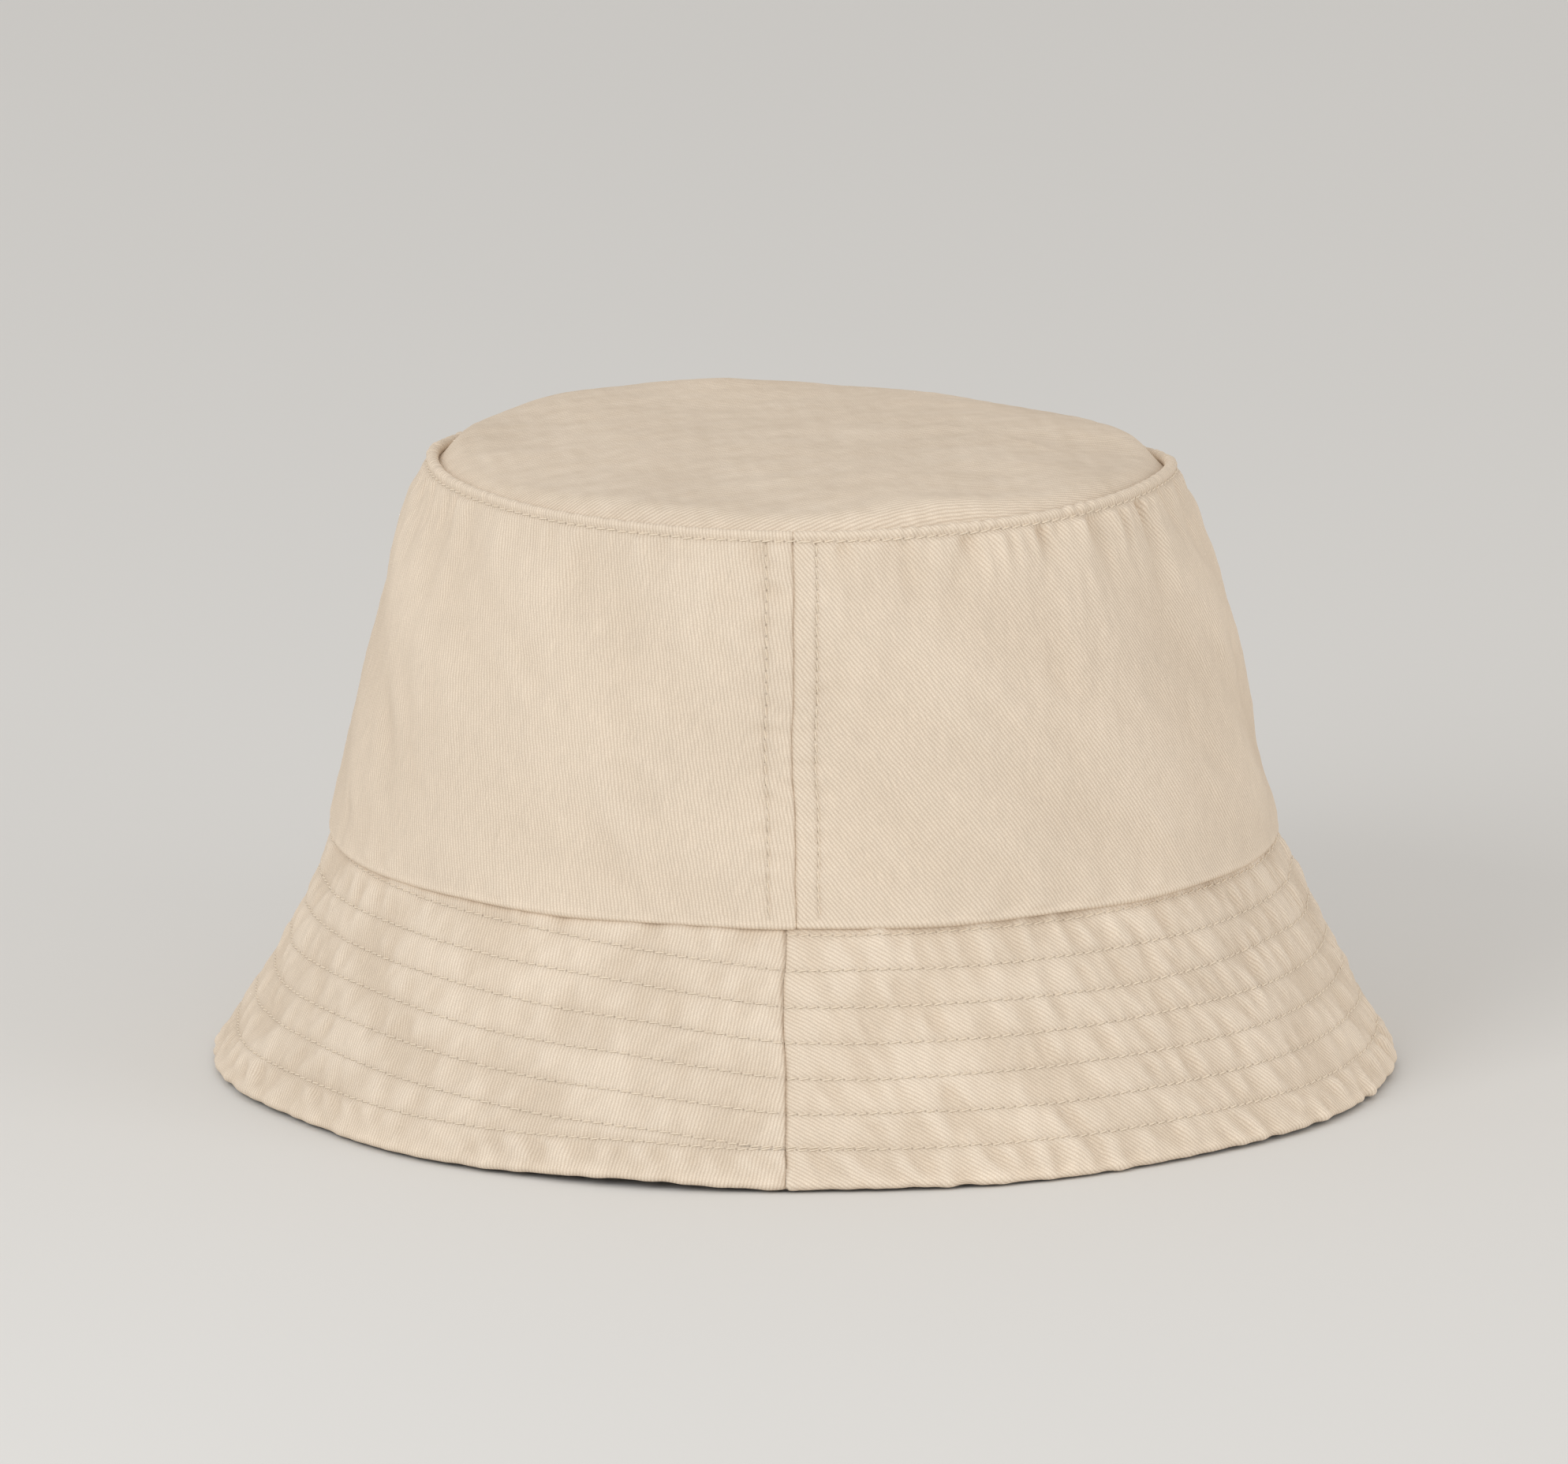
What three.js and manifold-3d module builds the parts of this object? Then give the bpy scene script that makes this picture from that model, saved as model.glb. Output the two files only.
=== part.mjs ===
// A cotton twill bucket hat, in millimetres, +Z up, standing on the edge of its brim at z = 0.
// +X is the front of the hat, and the origin is under the middle of the crown.
// The crown is a flat oval tip sewn to a side made of two half panels, which meet at the wearer's
// right (-Y) and left (+Y). The brim is a top and an under cloth, each of two halves, with an
// interlining between them, and is stitched through in one long spiral.
// Inside are the tapes that cover the seams, the sweatband, a main label and a care label,
// which hangs by its top edge from the tape round the crown's edge.
import * as THREE from "three";
import { mergeVertices } from "three/addons/utils/BufferGeometryUtils.js";
import Module from "manifold-3d";

// Plan and heights. A radius is the half length of the oval, from the middle to the front.
const OVAL = 14; // how much shorter the half width is than the half length
const BRIM_HEIGHT = 51.8; // from the ground to the seam between brim and crown
const CROWN_HEIGHT = 82.6; // from that seam to the crown's top edge
const BASE_RADIUS = 102.5; // crown, at the brim seam
const CROWN_LEAN = 14.1; // how far the crown's side leans in over its height
const CROWN_ROUND = 7.8; // how much further it curves in towards the top
const BRIM_START = 101; // brim cloth, where it comes out from under the crown
const BRIM_FLARE = 19.8; // how far the brim spreads over its height
const BRIM_BELL = 6.5; // how much further it curves out towards the hem
const TIP_DOME = 3; // rise of the tip's middle over its edge

// Cloths and how they lie on each other.
const CLOTH = 0.6;
const GAP = 0.3; // left between two pieces that touch
const FOLD = 2 * CLOTH; // a cloth turned back on itself
const TAPE = 0.5;
const SEAM_ALLOWANCE = 7; // width of the turned-in cloth along every seam
const TAPE_WIDTH = 13;
const TAPE_OVERHANG = 2; // how far the edge tape reaches below the allowance it covers
const SWEATBAND_WIDTH = 32;
const SWEATBAND = 0.9; // thickness: a strip of cloth folded double and pressed
const LABEL = 0.5;
const MAIN_LABEL = { width: 44, height: 18, above_seam: 9 };
const CARE_LABEL = { width: 24, height: 34 };

// Stitching.
const THREAD = 0.5; // side of the thread's square section
const SPIRAL_ROWS = 7;
const CLIMB_SHARE = 0.15; // of each turn, over which the thread climbs to the next row
const ROW_PITCH = 7.7; // between two turns, along the brim
const FIRST_ROW = 2.2; // below the crown, along the brim
const EDGE_STITCH_DROP = 2.6; // below the crown's top edge
const SEAM_STITCH_REACH = 5.5; // each side of a side seam
const SWEATBAND_STITCH_RISE = 3; // above the sweatband's lower edge

const AROUND = 48; // facets round the hat
const CROWN_TOP = BRIM_HEIGHT + CROWN_HEIGHT;
const BIG = 400; // half side of a cutting block

const crownRadius = (z) => {
  const s = (z - BRIM_HEIGHT) / CROWN_HEIGHT;
  return BASE_RADIUS - CROWN_LEAN * s - CROWN_ROUND * s * s;
};
const brimRadius = (z) => {
  const s = (BRIM_HEIGHT - z) / BRIM_HEIGHT;
  return BRIM_START + BRIM_FLARE * s + BRIM_BELL * s * s;
};
const TIP_RADIUS = crownRadius(CROWN_TOP) - 2 * CLOTH - GAP;

const colours = {
  twill: { color: 0xe2d2bd, roughness: 0.92, metalness: 0 },
  tape: { color: 0xe6d9c6, roughness: 0.9, metalness: 0 },
  interlining: { color: 0xf2f0ea, roughness: 0.95, metalness: 0 },
  sweatband: { color: 0xe2d2bd, roughness: 0.9, metalness: 0 },
  label: { color: 0xf5f3ee, roughness: 0.55, metalness: 0 },
  thread: { color: 0xeee2cf, roughness: 0.6, metalness: 0 },
};
const materials = Object.fromEntries(
  Object.entries(colours).map(([name, look]) => [name, new THREE.MeshStandardMaterial(look)]),
);

const wasm = await Module();
wasm.setup();
const hat = new THREE.Group();

// ---- helpers -------------------------------------------------------------------------------

// Points (radius, height) of a profile line, evenly spaced in height from zLow to zHigh.
function profile(radius, zLow, zHigh, steps) {
  return Array.from({ length: steps + 1 }, (_, i) => {
    const z = zLow + ((zHigh - zLow) * i) / steps;
    return new THREE.Vector2(radius(z), z);
  });
}

// The same line moved inwards, towards the head, by a distance. The line runs upwards.
function inset(line, distance) {
  return line.map((point, i) => {
    const before = line[Math.max(i - 1, 0)];
    const after = line[Math.min(i + 1, line.length - 1)];
    const along = after.clone().sub(before).normalize();
    return new THREE.Vector2(point.x - along.y * distance, point.y + along.x * distance);
  });
}

// The closed outline between two insets of one line.
function ribbon(line, outer, inner) {
  return [...inset(line, outer), ...inset(line, inner).reverse()];
}

// An outline spun round the hat's axis and pressed to the hat's oval plan. It runs anticlockwise,
// and closes on itself unless it starts and ends on the axis.
function ring(outline) {
  const closed = outline[0].x === 0 ? outline : [...outline, outline[0]];
  const spun = new THREE.LatheGeometry(closed, AROUND).rotateX(Math.PI / 2);
  const place = spun.getAttribute("position");
  for (let i = 0; i < place.count; i++) {
    const r = Math.hypot(place.getX(i), place.getY(i));
    place.setY(i, place.getY(i) * halfWidthShare(r));
  }
  return spun;
}

// The oval's half width over its half length, at a radius. Inside the tip it stays the same.
function halfWidthShare(r) {
  return 1 - OVAL / Math.max(r, TIP_RADIUS);
}

// A point on the oval of a given radius, at an angle counted from +X towards +Y.
function ovalPoint(r, angle, z) {
  return new THREE.Vector3(r * Math.cos(angle), r * halfWidthShare(r) * Math.sin(angle), z);
}

function toSolid(geometry) {
  const bare = geometry.clone();
  bare.deleteAttribute("normal");
  bare.deleteAttribute("uv");
  const merged = mergeVertices(bare, 1e-3);
  const vertProperties = new Float32Array(merged.getAttribute("position").array);
  const triVerts = new Uint32Array(merged.index.array);
  return new wasm.Manifold(new wasm.Mesh({ numProp: 3, vertProperties, triVerts }));
}

function toGeometry(solid) {
  const made = solid.getMesh();
  const geometry = new THREE.BufferGeometry();
  geometry.setAttribute("position", new THREE.BufferAttribute(made.vertProperties, 3));
  geometry.setIndex(new THREE.BufferAttribute(made.triVerts, 1));
  geometry.computeVertexNormals();
  return geometry;
}

function block(xRange, yRange, zRange) {
  const sides = [xRange, yRange, zRange];
  const size = sides.map(([low, high]) => high - low);
  const middle = sides.map(([low, high]) => (low + high) / 2);
  return toSolid(new THREE.BoxGeometry(...size).translate(...middle));
}

function add(name, look, geometry) {
  const mesh = new THREE.Mesh(geometry, materials[look]);
  mesh.name = name;
  hat.add(mesh);
  return mesh;
}

// Cuts a ring at the two side seams and adds its front and back halves.
function addHalves(name, look, outline) {
  const whole = toSolid(ring(outline));
  const all = [-BIG, BIG];
  add(`${name}_front`, look, toGeometry(whole.intersect(block([GAP / 2, BIG], all, all))));
  add(`${name}_back`, look, toGeometry(whole.intersect(block([-BIG, -GAP / 2], all, all))));
}

// ---- crown ---------------------------------------------------------------------------------

function crownSide() {
  const steps = 6;
  const foldTop = CROWN_TOP - SEAM_ALLOWANCE;
  const foldBottom = BRIM_HEIGHT + SEAM_ALLOWANCE;
  const outside = profile(crownRadius, BRIM_HEIGHT, CROWN_TOP, steps);
  const inside = [
    ...inset(profile(crownRadius, BRIM_HEIGHT, foldBottom, 1), FOLD),
    ...inset(profile(crownRadius, foldBottom + CLOTH, foldTop - CLOTH, steps - 2), CLOTH),
    ...inset(profile(crownRadius, foldTop, CROWN_TOP, 1), FOLD),
  ];
  addHalves("crown_side", "twill", [...outside, ...inside.reverse()]);
}

// A shallow dome, whose edge meets the inside of the side's turned-in top.
function crownTip() {
  const steps = 4;
  const top = Array.from({ length: steps + 1 }, (_, i) => {
    const share = i / steps;
    return new THREE.Vector2(TIP_RADIUS * share, CROWN_TOP + TIP_DOME * (1 - share * share));
  });
  const under = top.map((point) => new THREE.Vector2(point.x, point.y - CLOTH));
  add("crown_tip", "twill", ring([...under, ...top.reverse()]));
}

// How far inside the crown's outside the edge tape lies: over the turned-in side.
const EDGE_TAPE_OFFSET = FOLD + GAP;

function crownEdgeTape() {
  const low = CROWN_TOP - SEAM_ALLOWANCE - TAPE_OVERHANG;
  const line = profile(crownRadius, low, CROWN_TOP - 2 * FOLD, 1);
  add("crown_edge_tape", "tape", ring(ribbon(line, EDGE_TAPE_OFFSET, EDGE_TAPE_OFFSET + TAPE)));
}

function sideSeamTapes() {
  const low = BRIM_HEIGHT + SEAM_ALLOWANCE + 2 * CLOTH;
  const high = CROWN_TOP - SEAM_ALLOWANCE - 2 * CLOTH;
  const line = profile(crownRadius, low, high, 4);
  const band = toSolid(ring(ribbon(line, CLOTH + GAP, CLOTH + GAP + TAPE)));
  const across = [-TAPE_WIDTH / 2, TAPE_WIDTH / 2];
  const all = [-BIG, BIG];
  add("side_seam_tape_right", "tape", toGeometry(band.intersect(block(across, [-BIG, 0], all))));
  add("side_seam_tape_left", "tape", toGeometry(band.intersect(block(across, [0, BIG], all))));
}

// ---- brim ----------------------------------------------------------------------------------

const BRIM_STEPS = 5;

// From the hem up to the crown seam, then on up inside the crown as seam allowance.
function brimLine() {
  const seam = BRIM_HEIGHT - GAP;
  const end = BRIM_HEIGHT + SEAM_ALLOWANCE;
  const line = profile((z) => brimRadius(z + GAP), 0, seam, BRIM_STEPS);
  line.push(new THREE.Vector2(crownRadius(end) - BASE_RADIUS + BRIM_START, end));
  return line;
}

// One brim cloth: a ribbon along the brim, thicker along the hem where it is turned in, with the
// hem cut level so that the hat stands on it.
function brimCloth(name, outer, inner, hemOuter, hemInner) {
  const line = brimLine();
  const hemPoint = (offset) => {
    const [foot, next] = inset(line, offset);
    const share = -foot.y / (next.y - foot.y);
    return new THREE.Vector2(foot.x + (next.x - foot.x) * share, 0);
  };
  const turned = (offset) => {
    const [foot, next] = inset(line, offset);
    return foot.clone().lerp(next, SEAM_ALLOWANCE / foot.distanceTo(next));
  };
  const outside = [hemPoint(hemOuter), turned(hemOuter), ...inset(line, outer).slice(1)];
  const inside = [hemPoint(hemInner), turned(hemInner), ...inset(line, inner).slice(1)];
  addHalves(name, "twill", [...outside, ...inside.reverse()]);
}

function brim() {
  const layer = CLOTH + GAP;
  brimCloth("brim_top", 0, CLOTH, 0, FOLD);
  brimCloth("brim_under", 2 * layer, 2 * layer + CLOTH, FOLD + GAP, 2 * layer + CLOTH);

  const low = SEAM_ALLOWANCE + 5 * CLOTH; // clear of the turned-in hem
  const high = BRIM_HEIGHT - 2 * CLOTH;
  const stiff = profile((z) => brimRadius(z + GAP), low, high, BRIM_STEPS - 1);
  addHalves("brim_interlining", "interlining", ribbon(stiff, layer, layer + CLOTH));
}

// ---- sweatband and labels ------------------------------------------------------------------

// How far inside the crown's outside the sweatband lies: over the brim's three cloths.
const BAND_OFFSET = BASE_RADIUS - BRIM_START + 3 * CLOTH + 3 * GAP;
const BAND_LOW = BRIM_HEIGHT + 1;

function sweatband() {
  const line = profile(crownRadius, BAND_LOW, BAND_LOW + SWEATBAND_WIDTH, 3);
  const band = ribbon(line, BAND_OFFSET, BAND_OFFSET + SWEATBAND);
  add("sweatband", "sweatband", ring(band));
}

function mainLabel() {
  const low = BRIM_HEIGHT + MAIN_LABEL.above_seam;
  const offset = BAND_OFFSET + SWEATBAND + GAP;
  const line = profile(crownRadius, low, low + MAIN_LABEL.height, 1);
  const band = toSolid(ring(ribbon(line, offset, offset + LABEL)));
  const across = [-MAIN_LABEL.width / 2, MAIN_LABEL.width / 2];
  const cut = block([-BIG, 0], across, [-BIG, BIG]);
  add("main_label", "label", toGeometry(band.intersect(cut)));
}

// Hangs straight down inside the back of the crown, from just under the edge tape.
function careLabel() {
  const hinge = CROWN_TOP - SEAM_ALLOWANCE - TAPE_OVERHANG - 5 * GAP;
  const back = crownRadius(hinge) - EDGE_TAPE_OFFSET - TAPE - GAP;
  const tag = new THREE.BoxGeometry(LABEL, CARE_LABEL.width, CARE_LABEL.height);
  const mesh = add("care_label", "label", tag);
  mesh.position.set(-back, 0, hinge - CARE_LABEL.height / 2);
}

// ---- stitching -----------------------------------------------------------------------------

// The corners of the thread's square section, anticlockwise.
function threadSection() {
  const h = THREAD / 2;
  return [[-h, -h], [h, -h], [h, h], [-h, h]].map(([x, y]) => new THREE.Vector2(x, y));
}

// A thread laid level round the hat.
function threadRing(name, radius, z) {
  const middle = new THREE.Vector2(radius, z);
  add(name, "thread", ring(threadSection().map((corner) => corner.add(middle))));
}

function threadAlong(name, curve, steps) {
  const section = new THREE.Shape(threadSection());
  add(name, "thread", new THREE.ExtrudeGeometry(section, { steps, extrudePath: curve }));
}

// One thread round the brim, once along the hem and then up to the crown. Each turn climbs to the
// next row just behind the right seam. The start is left out where the second turn would touch it.
class BrimSpiral extends THREE.Curve {
  getPoint(share) {
    const turns = CLIMB_SHARE / 2 + share * (SPIRAL_ROWS - CLIMB_SHARE / 2);
    const climbed = Math.floor(turns) - 1 + THREE.MathUtils.smoothstep(turns % 1, 0, CLIMB_SHARE);
    const rowsBelowCrown = SPIRAL_ROWS - 1 - Math.max(climbed, 0);
    const slope = Math.hypot(BRIM_HEIGHT, BRIM_FLARE + BRIM_BELL);
    const z = BRIM_HEIGHT * (1 - (FIRST_ROW + ROW_PITCH * rowsBelowCrown) / slope);
    const lift = THREAD + GAP;
    return ovalPoint(brimRadius(z) + lift, -Math.PI / 2 - turns * 2 * Math.PI, z + lift / 2);
  }
}

// Straight from parameter to point, so that the steps fall on the facets' corners.
BrimSpiral.prototype.getPointAt = BrimSpiral.prototype.getPoint;
BrimSpiral.prototype.getTangentAt = THREE.Curve.prototype.getTangent;

function stitching() {
  const edgeZ = CROWN_TOP - EDGE_STITCH_DROP;
  const lift = THREAD / 2 + 1.5 * GAP;
  threadRing("crown_edge_stitch", crownRadius(edgeZ) + lift, edgeZ);

  const bandZ = BAND_LOW + SWEATBAND_STITCH_RISE;
  const inner = crownRadius(bandZ) - BAND_OFFSET - SWEATBAND;
  threadRing("sweatband_stitch", inner - lift, bandZ);

  for (const [side, away] of [["right", -1], ["left", 1]]) {
    for (const [half, forward] of [["front", 1], ["back", -1]]) {
      const points = profile(crownRadius, BRIM_HEIGHT + 1, edgeZ - 2, 4).map(({ x: r, y: z }) => {
        const angle = away * (Math.PI / 2) - away * forward * (SEAM_STITCH_REACH / r);
        return ovalPoint(r + lift, angle, z);
      });
      threadAlong(`side_seam_stitch_${side}_${half}`, new THREE.CatmullRomCurve3(points), 6);
    }
  }
  threadAlong("brim_spiral_stitch", new BrimSpiral(), SPIRAL_ROWS * AROUND);
}

crownSide();
crownTip();
crownEdgeTape();
sideSeamTapes();
brim();
sweatband();
mainLabel();
careLabel();
stitching();

export default hat;
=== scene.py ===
"""A washed cotton twill bucket hat: its cloths, stitching, tapes, sweatband and labels.

Every cloth is a surface of two parameters: the angle round the hat and the run along a profile
line, with a lift off that line. Lengths are in millimetres and angles in radians until a mesh is
written, which is in metres.
"""
import logging
from dataclasses import dataclass, field
from enum import Enum
from typing import Callable

import bpy
import numpy as np
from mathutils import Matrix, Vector


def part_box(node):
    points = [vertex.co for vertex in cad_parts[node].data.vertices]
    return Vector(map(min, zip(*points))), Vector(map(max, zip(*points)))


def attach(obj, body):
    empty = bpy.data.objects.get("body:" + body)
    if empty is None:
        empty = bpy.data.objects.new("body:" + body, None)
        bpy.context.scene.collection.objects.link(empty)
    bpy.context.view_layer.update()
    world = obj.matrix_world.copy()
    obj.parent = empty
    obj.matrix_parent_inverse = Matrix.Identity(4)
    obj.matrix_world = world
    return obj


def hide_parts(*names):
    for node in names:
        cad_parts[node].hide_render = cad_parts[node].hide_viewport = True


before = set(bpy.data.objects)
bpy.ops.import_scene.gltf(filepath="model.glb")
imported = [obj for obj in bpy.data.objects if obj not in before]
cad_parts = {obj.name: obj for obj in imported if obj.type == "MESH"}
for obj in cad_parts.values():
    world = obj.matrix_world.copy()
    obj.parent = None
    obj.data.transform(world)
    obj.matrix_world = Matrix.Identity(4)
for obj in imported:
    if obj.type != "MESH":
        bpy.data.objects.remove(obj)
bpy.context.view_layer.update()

MM = 0.001
log = logging.getLogger("bucket_hat")

Array = np.ndarray
Relief = Callable[[Array, Array], Array]
Piece = bpy.types.Object
Material = bpy.types.Material
Node = bpy.types.Node
Socket = bpy.types.NodeSocket


class Side(Enum):
    """A side seam, by the angle at which it lies; +X is the front of the hat and +Y its left."""

    RIGHT = -np.pi / 2
    LEFT = np.pi / 2


class Half(Enum):
    """A half panel, by the angle of its middle."""

    FRONT = 0.0
    BACK = np.pi

    def node(self, start: str) -> str:
        """The node for this half of something."""
        return f"{start}_{self.name.lower()}"


# ---- plain mathematics ----


def smooth(x: Array) -> Array:
    """Eases from 0 to 1 as x goes from 0 to 1: 3x squared less 2x cubed, held outside."""
    x = np.clip(x, 0.0, 1.0)
    return x * x * (3.0 - 2.0 * x)


def hump(x: Array, width: float) -> Array:
    """A bell of height 1 at x = 0: e to the minus (x over width) squared."""
    return np.exp(-((x / width) ** 2))


def wrapped(angle: Array) -> Array:
    """The same angle between minus half a turn and half a turn."""
    return (angle + np.pi) % (2 * np.pi) - np.pi


@dataclass(frozen=True)
class Waves:
    """Irregular waves on a flat sheet: plane waves of random length, direction and phase, added.

    Attributes:
        seed: Picks the waves.
        shortest: Shortest wave, mm.
        longest: Longest wave, mm.
        heading: Direction in which the height changes, from the first parameter to the second.
        fan: How far a wave may lie from the heading, either way.
        count: How many waves.
    """

    seed: int
    shortest: float
    longest: float
    heading: float = 0.0
    fan: float = np.pi
    count: int = 20

    def __call__(self, u: Array, v: Array) -> Array:
        """Height at (u, v), with a mean square of 1.

        The sum over the waves of the cosine of (k dot (u, v) + phase), over the root of half
        the count, where k points along the wave and is one turn over its length.

        Args:
            u: First parameter, mm.
            v: Second parameter, mm.

        Returns:
            The height, in the shape that u and v have together.
        """
        rng = np.random.default_rng(self.seed)
        length = np.exp(rng.uniform(np.log(self.shortest), np.log(self.longest), self.count))
        turn = rng.uniform(-self.fan, self.fan, self.count)
        phase = rng.uniform(0, 2 * np.pi, self.count)
        u, v = np.broadcast_arrays(u, v)
        total = np.zeros(u.shape)
        for k, off, start in zip(2 * np.pi / length, turn, phase):
            way = self.heading + off
            total += np.cos(k * (np.cos(way) * u + np.sin(way) * v) + start)
        return total / np.sqrt(self.count / 2)


def spread(start: float, end: float, step: float, fine: float, fine_at: list[float],
           reach: float = 1.2) -> Array:
    """Parameter values whose spacing is step, and narrows to fine near given places.

    The density is one over the step plus a bell at each fine place; the values are where its
    running total passes whole numbers.

    Args:
        start: First value.
        end: Last value.
        step: Spacing away from the fine places.
        fine: Spacing at the fine places.
        fine_at: The fine places.
        reach: Half width of a bell.

    Returns:
        Values from start to end, one more than a multiple of four, so that every fourth counts.
    """
    x = np.linspace(start, end, 8000)
    density = np.full(x.shape, 1.0 / step)
    for place in fine_at:
        density = np.maximum(density, 1.0 / step + (1.0 / fine - 1.0 / step) * hump(x - place, reach))
    total = np.concatenate([[0.0], np.cumsum((density[1:] + density[:-1]) / 2 * np.diff(x))])
    pieces = 4 * max(int(np.ceil(total[-1] / 4)), 1)
    return np.interp(np.linspace(0, total[-1], pieces + 1), total, x)


# ---- the hat's form ----

CLOTH = 0.6
CLEARANCE = 0.3  # between the tip's plate and the folded cloths round it
CROWN_LEAN_SHARE = 0.644  # of how far the crown's side comes in, the part that is a straight lean
BRIM_FLARE_SHARE = 0.9
BRIM_TUCK = 1.5  # how far inside the crown's edge the brim starts
SEAM_GAP = 0.003  # half the gap between two halves, mm


@dataclass(frozen=True)
class Bell:
    """A bell-shaped rise at one place round the hat, or a dip if its height is negative.

    Attributes:
        angle: Where it is.
        width: Half width of the bell, as an angle.
        height: Height of its middle, mm.
    """

    angle: float
    width: float
    height: float

    def at(self, theta: Array, z: Array | float = 0.0) -> Array:
        """Its height at an angle, the same at every z."""
        return self.height * hump(wrapped(theta - self.angle), self.width)


@dataclass(frozen=True)
class RingWave:
    """A cosine with whole waves round the hat, which may turn as it goes up.

    Attributes:
        height: Height of its crests, mm.
        waves: How many waves go round.
        phase: Phase at angle zero on the ground.
        drift: How far the phase moves in a millimetre of height.
    """

    height: float
    waves: int
    phase: float = 0.0
    drift: float = 0.0

    def at(self, theta: Array, z: Array | float = 0.0) -> Array:
        """Its height at an angle and a height."""
        return self.height * np.cos(self.waves * theta + self.drift * z + self.phase)


def added(parts: tuple[Bell | RingWave, ...], theta: Array, z: Array | float = 0.0) -> Array:
    """The heights of several bells or waves at the same place, added."""
    return sum(part.at(theta, z) for part in parts)


LEAN_BACK = 0.011  # how far the hat leans backwards for each unit of height
WALL_SWELLS = (RingWave(0.42, 2, 0.6, 0.021), RingWave(0.35, 3, 2.1, -0.03), RingWave(0.28, 5, 4.0, 0.045),
               RingWave(0.22, 8, 1.0, -0.06), RingWave(0.15, 13, 5.2, 0.09))
FRONT_BULGE = Bell(0.0, 0.7, 1.9)
BACK_PINCH = Bell(np.pi, 0.8, 1.1)
BRIM_HOLLOW = Bell(np.pi, 0.8, 1.6)
HEM_FLUTTER = (RingWave(0.8, 4, 0.9), RingWave(0.6, 7, 2.4), RingWave(0.4, 11, 0.3))
HEM_LIFTS = (RingWave(0.45, 2, 0.4), RingWave(0.25, 5, 1.2), RingWave(0.2, 9))
HEM_KICK = (Bell(-1.86, 0.17, 1.2), Bell(-2.1, 0.4, 0.4))
RIM_DIPS = (Bell(-1.5, 0.8, 1.0), Bell(0.8, 0.5, 3.2), Bell(0.1, 0.25, 1.6), Bell(2.1, 0.45, -1.2),
            Bell(2.75, 0.3, -0.9))
RIGHT_TWIST = Bell(Side.RIGHT.value, 0.6, -1.65)
SEAM_STRAYS = ((0.30, 8.5, 0.4), (0.16, 4.1, 2.0), (0.07, 1.7, 0.0))  # size mm, length mm, phase
STRAY_WIDTH = 0.12  # as an angle
FAR_SAG = 2.6  # of the rim on the left side, mm


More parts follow.
